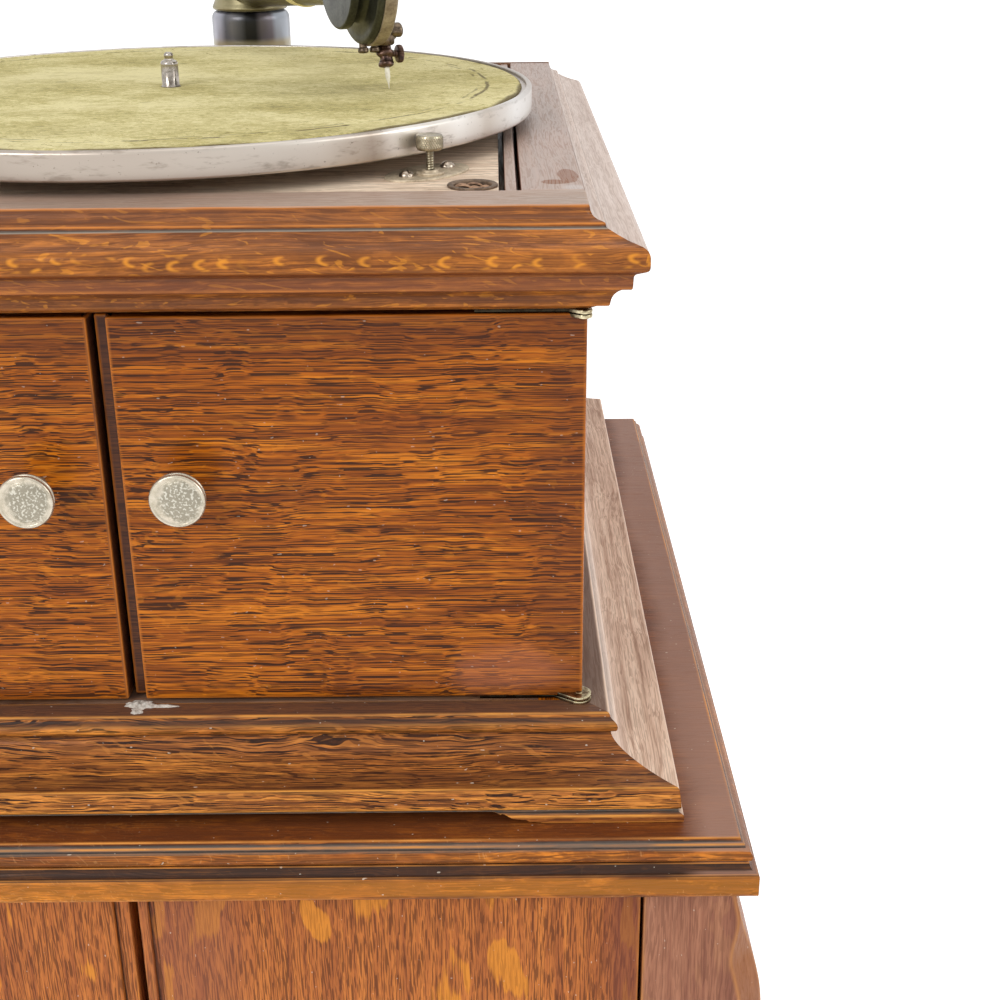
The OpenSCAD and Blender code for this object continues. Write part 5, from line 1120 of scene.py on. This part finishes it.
def tube(path, radius, sides, wall):
    """Round rings of the given radii along a path, square to it, with hollow ends: the inner wall
    runs back inside a wall's thickness."""
    d = np.gradient(path, axis=0)
    d /= np.linalg.norm(d, axis=1, keepdims=True)
    w = np.cross([0, 0, 1.0], d)
    w /= np.linalg.norm(w, axis=1, keepdims=True)
    v = np.cross(d, w)
    a = around(sides)
    r = np.asarray(radius, float)[:, None, None]
    spoke = np.cos(a)[None, :, None] * w[:, None] + np.sin(a)[None, :, None] * v[:, None]
    whole = np.concatenate([path[:, None] + r * spoke, (path[:, None] + (r - wall) * spoke)[::-1]])
    return whole.reshape(-1, 3), [quads(len(whole), sides, close_n=True, close_m=True)], None


def tone_arm():
    """Swivel foot and elbow ball turned about the upright, and one tapered tube from the elbow
    through the gooseneck to the sound box's collar, with a ferrule band and a socket ring."""
    foot = spun([[11.9, 19.4], [13.9, 19.4], [13.9, 31.6], [18.6, 31.6]]
                + arc(18.6, 32.8, 1.0, 1.1, -90, 45, 5) + [[18.3, 36], [18.0, 39], [18.3, 43]]
                + arc(0, 52, 19.6, 19.0, -18, 89, 20) + [[0.4, 71.1], [0.4, 69.4]]
                + arc(0, 52, 18.2, 17.4, 88, -18, 14) + [[17, 46], [16.6, 34.4], [11.9, 33.4]], 96)
    foot = (in_arm(foot[0]), foot[1], None)
    s = np.concatenate([np.linspace(4, 148, 70), [150]])
    straight = np.stack([s, 0 * s, ARM_UP + 0 * s], -1)
    t = np.linspace(0, 1, 60)[1:]
    path = np.concatenate([straight, neck_path(t), [[BOX_ALONG, -18, BOX_UP], [BOX_ALONG, -13.1, BOX_UP]]])
    radius = np.concatenate([arm_radius(s), np.full(61, THIN_END)])
    radius = radius + 0.9 * np.exp(-(np.arange(len(radius)) / 1.2) ** 2)
    body = tube(path, radius, 56, 1.6)
    body = (in_arm(body[0]), body[1], None)
    bands = []
    for at, wide, proud in ((99.0, 14.0, 0.25), (147.5, 3.0, 0.3)):
        r = arm_radius(at)
        ring = spun([[r - 1.0, -wide / 2], [r + proud * 0.6, -wide / 2]]
                    + arc(r + proud * 0.5, 0, proud * 0.6, wide * 0.42, -80, 80, 8)
                    + [[r + proud * 0.6, wide / 2], [r - 1.0, wide / 2]], 72)
        pts, faces, _ = placed(ring, (at, 0, ARM_UP), pointing((1, 0, 0)))
        bands.append((in_arm(pts), faces, None))
    return joined(foot, body), joined(*bands)


arm_body, arm_bands = tone_arm()
made("arm_bracket", bracket(), "cabinet", "tonearm_bracket", bracket_plate, sharp=50)
made("tapered_arm", arm_body, "tonearm", "tonearm", arm_plate, sharp=50)
made("arm_ferrules", arm_bands, "tonearm", (), ferrule_metal, sharp=50)

BOX = in_arm([BOX_ALONG, -6.6, BOX_UP])


def on_box(part, at=(0, 0, 0), turn=None):
    """A part in the sound box's own space: X along the arm, Y out of its face, Z up."""
    pts, faces, marks = placed(part, at, turn)
    return BOX + pts @ ARM_BASIS.T, faces, marks


OUT_OF_FACE = pointing((0, 1, 0), (1, 0, 0))


def sound_box():
    """Turned back shell: a round flange behind, a narrower body and the wide drum that holds the
    diaphragm. With it a bright band shrunk on the drum, a beaded face ring and its screws."""
    back = ([[7.55, -12.2], [10.4, -12.2], [10.5, -11.1], [21.1, -11.0]]
            + arc(21.3, -10.0, 1.0, 1.0, -85, 0, 6) + [[22.3, -8.3]] + arc(21.3, -8.2, 1.0, 1.0, 0, 85, 6)
            + [[20.3, -7.1], [19.8, -6.6], [19.8, -3.2], [20.6, -2.5], [26.0, -2.3]]
            + arc(27.2, -1.1, 1.4, 1.2, -85, 0, 5)
            + [[28.6, 0.9], [28.6, 4.6], [28.0, 5.8], [26.6, 5.9], [25.4, 5.2]]
            + arc(24.6, 4.2, 0.8, 0.9, 60, -60, 4) + [[24.2, 3.0], [24.0, 2.6], [7.55, -1.4]])
    ring = spun([[23.4, 2.9], [25.0, 2.9], [25.3, 4.4]] + arc(24.4, 4.4, 0.9, 0.9, 0, 180, 8), 128)
    band = spun([[28.3, 0.6], [29.2, 0.6], [29.4, 0.9], [29.4, 4.7]] + arc(28.2, 4.8, 1.2, 1.2, 0, 90, 6)
                + [[27.4, 6.0], [27.3, 5.6], [28.3, 5.4]], 160)
    screws = []
    for a in np.radians([30, 90, 150, 210, 330]):
        at = (26.2 * math.cos(a), 5.6, 26.2 * math.sin(a))
        screws.append(placed(spun([[0, -1], [1.1, -1], [1.1, 0.2]] + arc(0, 0.2, 1.1, 0.6, 0, 85, 4)
                                  + [[0, 0.8]], 20), at, OUT_OF_FACE))
    return placed(spun(back, 160), (0, 0, 0), OUT_OF_FACE), joined(
        placed(ring, (0, 0, 0), OUT_OF_FACE), placed(band, (0, 0, 0), OUT_OF_FACE), *screws)


def diaphragm():
    """Thin disc with rolled rings: its height is 0.3 sin of the radius, fading at rim and middle."""
    r = np.linspace(24.0, 0.2, 60)
    h = 3.0 + 0.28 * np.sin(r * 1.3) * np.clip((24 - r) / 3, 0, 1) * np.clip((r - 3) / 3, 0, 1)
    top = np.stack([r, h], -1).tolist()
    return placed(spun([[0, 2.3], [24.0, 2.3]] + top + [[0, 3.1]], 128), (0, 0, 0), OUT_OF_FACE)


shell, trim = sound_box()
made("sound_box_shell", on_box(shell), "soundbox", "soundbox", box_plate, sharp=50)
made("sound_box_trim", on_box(trim), "soundbox", (), band_metal, sharp=50)
made("sound_box_diaphragm", on_box(diaphragm()), "soundbox", (), mica, sharp=60)

LEAN = math.radians(-14)
CHUCK_Z, CHUCK_OUT = -32.6, 9.2
DOWN = np.array([-math.sin(LEAN), 0, -math.cos(LEAN)])


def needle_parts():
    """Stylus bar bent over the rim, its pivot block with two screws, the chuck's lumpy barrel, its
    thumb screw with a milled head, and the needle with its long point."""
    z = np.linspace(0.5, CHUCK_Z + 3, 26)
    y = 4.4 + 4.4 * ease((-z - 16) / 11)
    wide = 1.5 + 1.0 * np.exp(-((z + 24) / 5) ** 2)
    path = np.stack([0 * z, y, z], -1)
    a = around(16)
    none = 0 * wide[:, None]
    ring = np.stack([wide[:, None] * np.cos(a), 0.9 * np.sin(a) + none, none + 0 * a], -1)
    bar = lofted(path[:, None] + ring)
    foot = placed(spun([[0, 0], [2.4, 0], [2.4, 0.8], [1.4, 1.4], [0, 1.5]], 32), (0, 3.0, 0), OUT_OF_FACE)
    block = carried(box_outline(-29.2, -19.4, -7, 7), 5.6, 11.4, "Y", 2.0, 1.5)
    studs = [placed(spun([[0, -2.5], [2.7, -2.5], [2.9, 1.0]] + arc(0, 1.2, 2.9, 1.7, 0, 85, 5) + [[0, 2.9]],
                         32, lambda a, h, r: 0.2 * np.sin(2 * a) * (r > 1)),
                    (k * 3.8 + 1.0, 12.4, -24.0 + k * 0.9), OUT_OF_FACE) for k in (-1, 1)]
    pegs = [placed(spun([[0, -3.6], [1.5, -3.6], [1.6, 0.2], [2.1, 0.6]] + arc(1.5, 1.6, 0.7, 0.9, -40, 80, 5)
                        + [[0, 2.7]], 24), (0.4, out, -29.6), pointing((0.1, 0, -1))) for out in (-0.4, 4.6)]
    turn = pointing(-DOWN)
    at = np.array([0, CHUCK_OUT, CHUCK_Z])
    lumps = spun([[0, 5.6], [2.4, 5.6]] + arc(2.2, 4.2, 1.3, 1.4, 80, -80, 8) + [[2.7, 2.4], [2.9, 1.6]]
                 + arc(2.4, 0.0, 1.2, 1.5, 75, -75, 8) + [[2.5, -2.2], [2.9, -3.2]]
                 + arc(2.2, -4.4, 1.0, 1.2, 60, -80, 6) + [[1.4, -5.9], [0, -6]], 48,
                 lambda a, h, r: 0.22 * np.sin(3 * a + h) * (r > 2))
    chuck = placed(lumps, at, turn)
    side = placed(spun([[0, -4.6], [1.5, -4.6]] + arc(1.4, -3.6, 1.0, 1.0, -70, 70, 5)
                       + [[1.3, 0], [1.6, 3.4]] + arc(1.2, 4.2, 1.0, 0.9, -50, 80, 5) + [[0, 5.2]], 32),
                  (1.6, CHUCK_OUT - 1.0, CHUCK_Z + 4.6), pointing((1, 0.25, 0.35)))
    screw = joined(spun([[0, 0.9], [1.1, 0.9], [1.1, 4.3], [0, 4.3]], 32),
                   spun([[0, 4.2], [1.6, 4.2], [1.7, 4.8], [3.2, 5.0]] + arc(3.0, 5.6, 0.5, 0.6, -80, 0, 3)
                        + [[3.5, 6.4]] + arc(2.9, 6.5, 0.6, 0.8, 0, 85, 4) + [[0, 7.2]], 120,
                        lambda a, h, r: 0.13 * np.cos(30 * a) * (r > 3.05)))
    screw = placed(screw, (0, CHUCK_OUT, -33.2), OUT_OF_FACE)
    reach = (CHUCK_Z + BOX_UP - FELT_UP - 0.2) / math.cos(LEAN)
    thin = [[0, -1.8], [1.0, -1.8], [1.05, reach - 7], [1.0, reach - 4.6], [0.7, reach - 3.4],
            [0.25, reach - 1.6], [0.12, reach - 0.1], [0, reach]]
    needle = placed(spun(thin, 24), at, pointing(DOWN))
    return joined(bar, foot, block, *studs, *pegs), joined(chuck, side), screw, needle


bar, chuck, thumb_screw, needle = needle_parts()
made("needle_chuck", on_box(chuck), "soundbox", (), chuck_metal, sharp=45)
made("stylus_bar", on_box(bar), "soundbox", "needle_bar", bar_metal, sharp=45)
made("milled_needle_screw", on_box(thumb_screw), "needle_screw", "needle_screw", chuck_metal,
     sharp=45)
made("play_needle", on_box(needle), "soundbox", "needle", needle_white, sharp=60)


# ---------------------------------------------------------------- fittings on the motor board
REG = (108.483, -97.762)
PLATE_TURN = math.radians(49.7)
PLATE = (REG[0] - 1.3, REG[1] + 4.5)


def upright_turn(turn):
    """Matrix of a turn about the upright."""
    c, s = math.cos(turn), math.sin(turn)
    return np.array([[c, -s, 0], [s, c, 0], [0, 0, 1]])


def regulator_knob():
    """Screw thread as a wave that climbs 0.9 mm a turn, and a knob whose edge is cross-knurled:
    the radius follows two sets of slanting cosines."""
    a = around(40)
    h = np.linspace(-22, 8.2, 220)[:, None]
    r = 1.32 + 0.1 * np.cos(a[None] - 2 * math.pi * h / 0.9)
    r[0] = r[-1] = 0.6
    pts = np.stack([r * np.cos(a), r * np.sin(a), h + 0 * a], -1)
    stem = lofted(pts)
    z = 7.4
    edge = np.stack([np.full(14, 4.78), np.linspace(z + 0.9, z + 4.5, 14)], -1).tolist()
    knurl = lambda a, h, r: np.where(r > 4.7, 0.22 * np.abs(np.cos(17 * a + 2.2 * h))
                                     + 0.22 * np.abs(np.cos(17 * a - 2.2 * h)) - 0.3, 0)
    head = spun([[0, z], [2.4, z], [4.2, z]] + arc(4.2, z + 0.5, 0.45, 0.5, -90, 0, 3) + edge
                + arc(4.2, z + 4.8, 0.45, 0.5, 0, 90, 3) + [[2.2, z + 5.05], [0, z + 5.3]], 216, knurl)
    return joined(stem, head)


def oval_plate():
    """Rounded oval plate: rings of an ellipse of 19 by 11 drawn in over its edge, and a turned
    boss round the stem."""
    a = around(120)
    inset = np.array([0.0, 0.0, 0.1, 0.35, 0.8, 4.0])
    h = np.array([0, 0.35, 0.6, 0.75, 0.8, 0.8])
    ring = np.stack([(19 - inset)[:, None] * np.cos(a), (11 - inset)[:, None] * np.sin(a),
                     h[:, None] + 0 * a], -1)
    plate = placed(lofted(ring), (*PLATE, BOARD_TOP), upright_turn(PLATE_TURN))
    boss = spun([[1.5, 0.2], [5.1, 0.2], [5.1, 1.3]] + arc(4.6, 1.3, 0.5, 0.5, 0, 90, 4)
                + [[3.2, 1.5], [3.0, 1.8]] + arc(2.4, 1.8, 0.6, 0.7, 0, 90, 4) + [[1.5, 2.4]], 96)
    return joined(plate, placed(boss, (*REG, BOARD_TOP)))


def round_screw(turn):
    """Round head with a slot: the height above the board is a dome, sunk along a bar across it."""
    rr, aa = np.meshgrid(np.linspace(0.02, 1, 26), around(64), indexing="ij")
    px, py = 2.75 * rr * np.cos(aa), 2.75 * rr * np.sin(aa)
    h = 2.1 * np.sqrt(np.clip(1 - rr ** 2, 0, 1)) + 0.15
    slot = np.clip((0.3 - np.abs(px)) / 0.1, 0, 1)
    h = h - slot * 0.6 * (rr < 0.97)
    top = np.stack([px, py, h], -1)[::-1]
    skirt = np.stack([px[-1], py[-1], 0 * px[-1]], -1)[None]
    shank = np.stack([px[-1] * 0.45, py[-1] * 0.45, 0 * px[-1] - 0.6], -1)[None]
    return placed(lofted(np.concatenate([shank, skirt, top])), (0, 0, 0), upright_turn(turn))


plate_screws = joined(*[placed(round_screw(t), (PLATE[0] + k * 10.8 * math.cos(PLATE_TURN),
                                               PLATE[1] + k * 10.8 * math.sin(PLATE_TURN), BOARD_TOP + 0.7))
                        for k, t in ((-1, 0.5), (1, 1.9))])
made("knurled_regulator", placed(regulator_knob(), (*REG, Z_TOP)), "regulator", "regulator_knob",
     knurl_metal, sharp=60)
made("oval_regulator_plate", oval_plate(), "cabinet", "regulator_plate", fitting_plate, sharp=45)
made("slotted_screws", plate_screws, "cabinet", "round_head_screws", screw_steel, sharp=40)

CUP = (123.7, -116.2)


def needle_cup():
    """Spun cup let into the board: flange, rolled lip and a round bottom, with a thin wall."""
    profile = ([[0, -10], [4.4, -10]] + arc(4.4, -7, 3.0, 3.0, 270, 360, 8) + [[7.4, -0.2], [8.7, -0.1]]
               + arc(8.3, 0.4, 0.5, 0.5, -60, 90, 5) + arc(7.4, 0.3, 0.8, 0.5, 90, 180, 4)
               + arc(3.9, -6.4, 2.8, 2.8, 360, 270, 8) + [[0, -9.2]])
    return placed(spun(profile, 96), (*CUP, BOARD_TOP))


made("spare_needle_cup", needle_cup(), "cabinet", "needle_cup", cup_metal, sharp=50)


def cup_chips():
    """Curled chips of wood left in the cup: rings of a lens outline, each raised by half a sine
    along its length and thinned to its ends."""
    t, a = np.linspace(-0.97, 0.97, 15)[:, None], around(12)[None]
    chips = []
    for x, y, z, long, wide, curl, turn in ((-3.6, 1.2, -2.2, 6.5, 2.4, 2.6, 0.1),
                                            (1.2, -0.6, -2.6, 6.0, 2.2, 2.4, 0.5),
                                            (4.2, 1.6, -2.4, 4.6, 1.8, 1.8, -0.4),
                                            (0.4, 4.0, -1.6, 5.0, 1.5, 1.4, 0.0)):
        side = np.sqrt(1 - t ** 2)
        pts = np.stack([long * 0.72 * t + 0 * a, wide * side * np.cos(a),
                        curl * np.cos(1.4 * t) - curl * 0.4 + 0.35 * side * np.sin(a)], -1)
        chips.append(placed(lofted(pts), (x, y, z), upright_turn(turn)))
    return placed(joined(*chips), (*CUP, BOARD_TOP + 1.0))


made("wood_chips_in_cup", cup_chips(), "cabinet", (), chip_wood, sharp=60)


# ---------------------------------------------------------------- small marks of age
def smear(cx, cy, rx, ry, tall, z, seed, steps=72, rings=16):
    """A lump of old putty: rings of a ragged outline, r (1 + 0.3 noise of the angle), heaped as a
    low dome with noise on it."""
    a = around(steps)
    rr = np.linspace(1, 0.04, rings)[:, None]
    edge = 1 + 0.55 * drift(3 + 2.0 * np.cos(a), 3 + 2.0 * np.sin(a), seed)[None]
    x, y = rx * rr * edge * np.cos(a), ry * rr * edge * np.sin(a)
    h = tall * np.clip(1 - rr ** 2.2, 0, 1) * (0.75 + 0.9 * drift(x / 1.6, y / 1.6, seed + 1)) + 0.02
    under = np.stack([x[0], y[0], 0 * x[0] - 0.2], -1)[None]
    pts = np.concatenate([under, np.stack([x, y, h], -1)])
    return placed(lofted(pts), (cx, cy, z))


smears = joined(smear(1.5, Y_DOOR - 1.6, 5.6, 3.0, 1.5, LEDGE - 0.1, 4),
                smear(9.5, Y_DOOR - 2.4, 6.0, 1.1, 0.8, LEDGE - 0.1, 6),
                smear(0.8, Y_DOOR - 5.2, 2.2, 2.6, 1.0, LEDGE - 0.1, 9))
made("putty_smear", smears, "cabinet", (), putty, sharp=80)


# ---------------------------------------------------------------- finishes of the solids that stay
for finish, names in {
        panel_oak: ("side_panel_left", "side_panel_right"), case_oak: ("case_side_left", "case_side_right"),
        bare_wood: ("cabinet_back", "case_back", "record_dividers"), horn_wood: ("mouth_board", "horn_body"),
        inside_flat: ("cabinet_bottom", "cabinet_shelf", "case_floor"), top_oak: ("front_apron",),
        board_oak: ("motor_board",), brass: ("intermediate_wheel", "governor"), blued: ("mainspring",),
        iron: ("motor_frame", "horn_elbow"), screw_steel: ("brake_lever", "barrel_arbor", "winding_gear"),
        knurl_metal: ("spring_barrel",)}.items():
    for name in names:
        mesh = NODES[name].data
        mesh.materials.clear()
        mesh.materials.append(finish)


# ---------------------------------------------------------------- floor, light and camera
def pale_ground():
    """A wide disc of rings under the feet, flat, a hair below the ground's level, and its finish: a pale
    matt floor that a camera, a polished face or a lens sees as white but for the shadow."""
    a = around(96)
    r = np.array([0.02, 0.4, 1.2, 3.0, 9.0, 30.0])[:, None] * 1000
    pts = np.stack([r * np.cos(a), r * np.sin(a), -0.02 + 0 * r * a], -1)
    faces = quads(6, 96, close_m=True)
    mesh = bpy.data.meshes.new("studio_floor")
    mesh.from_pydata((pts.reshape(-1, 3) / 1000).tolist(), [], faces.tolist() + [list(range(96))])
    ground = bpy.data.objects.new("studio_floor", mesh)
    bpy.context.scene.collection.objects.link(ground)
    f = Finish("pale_floor")
    cloud = f.noise((3, 3, 3), 2, 0.5)
    colour = f.tones(cloud, (0.3, rgb(236, 236, 236)), (0.7, rgb(244, 244, 244)))
    flat = f.node("ShaderNodeBsdfDiffuse", {"Color": colour}).outputs[0]
    path = f.node("ShaderNodeLightPath")
    seen = f.sum("MAXIMUM", path.outputs["Is Camera Ray"],
                 f.sum("MAXIMUM", path.outputs["Is Glossy Ray"], path.outputs["Is Transmission Ray"]))
    glow = f.node("ShaderNodeEmission", {"Color": (1, 1, 1, 1), "Strength": f.times(seen, 0.6)}).outputs[0]
    f.tree.links.new(f.node("ShaderNodeAddShader", {0: flat, 1: glow}).outputs[0], f.out.inputs[0])
    mesh.materials.append(f.material)


def studio_light():
    """White surroundings, plain for the light they give and full white where they are seen, and
    three broad soft lamps: to the left in front, to the right, and above."""
    world = bpy.data.worlds.new("studio_white")
    bpy.context.scene.world = world
    world.use_nodes = True
    tree = world.node_tree
    tree.nodes.clear()
    out = tree.nodes.new("ShaderNodeOutputWorld")
    ground = tree.nodes.new("ShaderNodeBackground")
    path = tree.nodes.new("ShaderNodeLightPath")
    sky = tree.nodes.new("ShaderNodeMath")
    sky.operation = "MAXIMUM"
    both = tree.nodes.new("ShaderNodeMath")
    both.operation = "MAXIMUM"
    level = tree.nodes.new("ShaderNodeMapRange")
    tree.links.new(path.outputs["Is Camera Ray"], sky.inputs[0])
    tree.links.new(path.outputs["Is Glossy Ray"], both.inputs[0])
    tree.links.new(path.outputs["Is Transmission Ray"], both.inputs[1])
    tree.links.new(both.outputs[0], sky.inputs[1])
    tree.links.new(sky.outputs[0], level.inputs[0])
    level.inputs[3].default_value = 0.74
    level.inputs[4].default_value = 1.0
    tree.links.new(level.outputs[0], ground.inputs["Strength"])
    ground.inputs["Color"].default_value = (1, 1, 1, 1)
    tree.links.new(ground.outputs[0], out.inputs[0])
    for name, size, power, at, aim in (
            ("key_lamp", 1.3, 27, (-1.35, -2.0, 2.1), (0.02, -0.1, 0.86)),
            ("side_lamp", 1.5, 16, (2.3, -0.7, 1.8), (0.1, 0.0, 0.86)),
            ("top_lamp", 1.7, 5, (0.2, -0.2, 3.1), (0.0, 0.0, 0.95))):
        lamp = bpy.data.lights.new(name, "AREA")
        lamp.shape, lamp.size, lamp.energy = "DISK", size, power
        holder = bpy.data.objects.new(name, lamp)
        bpy.context.scene.collection.objects.link(holder)
        look_along(holder, at, np.array(aim) - at)


def look_along(thing, at, ahead, side=(0.97, 0.2, 0.1)):
    """Sets an object at a place with its -Z along ahead and its X near side."""
    z = -np.asarray(ahead) / np.linalg.norm(ahead)
    x = np.asarray(side, float) - np.dot(side, z) * z
    x /= np.linalg.norm(x)
    y = np.cross(z, x)
    turned = np.stack([x, y, z], -1).tolist()
    rows = [[*row, place] for row, place in zip(turned, np.asarray(at, float).tolist())]
    thing.matrix_world = Matrix(rows + [[0, 0, 0, 1]])


def photograph_camera():
    """The camera fitted to the photograph: 21.18 degrees down, turned and tipped by under half a
    degree, with a 52.25 mm lens on a 36 mm square."""
    pitch, tip, turn = math.radians(21.18), -0.0081, -0.0016
    spin = np.array([[math.cos(turn), -math.sin(turn), 0], [math.sin(turn), math.cos(turn), 0], [0, 0, 1]])
    ahead = spin @ [0, math.cos(pitch), -math.sin(pitch)]
    up = spin @ [0, math.sin(pitch), math.cos(pitch)]
    right = math.cos(tip) * (spin @ [1.0, 0, 0]) + math.sin(tip) * up
    data = bpy.data.cameras.new("photograph_camera")
    data.lens, data.sensor_width, data.shift_y = 52.25, 36, -0.07
    data.clip_start, data.clip_end = 0.02, 60
    camera = bpy.data.objects.new("photograph_camera", data)
    bpy.context.scene.collection.objects.link(camera)
    look_along(camera, (0.1317, -0.6126, 1.0514), ahead, right)
    bpy.context.scene.camera = camera


pale_ground()
studio_light()
photograph_camera()
bpy.context.scene.view_settings.view_transform = "Standard"
bpy.context.view_layer.update()
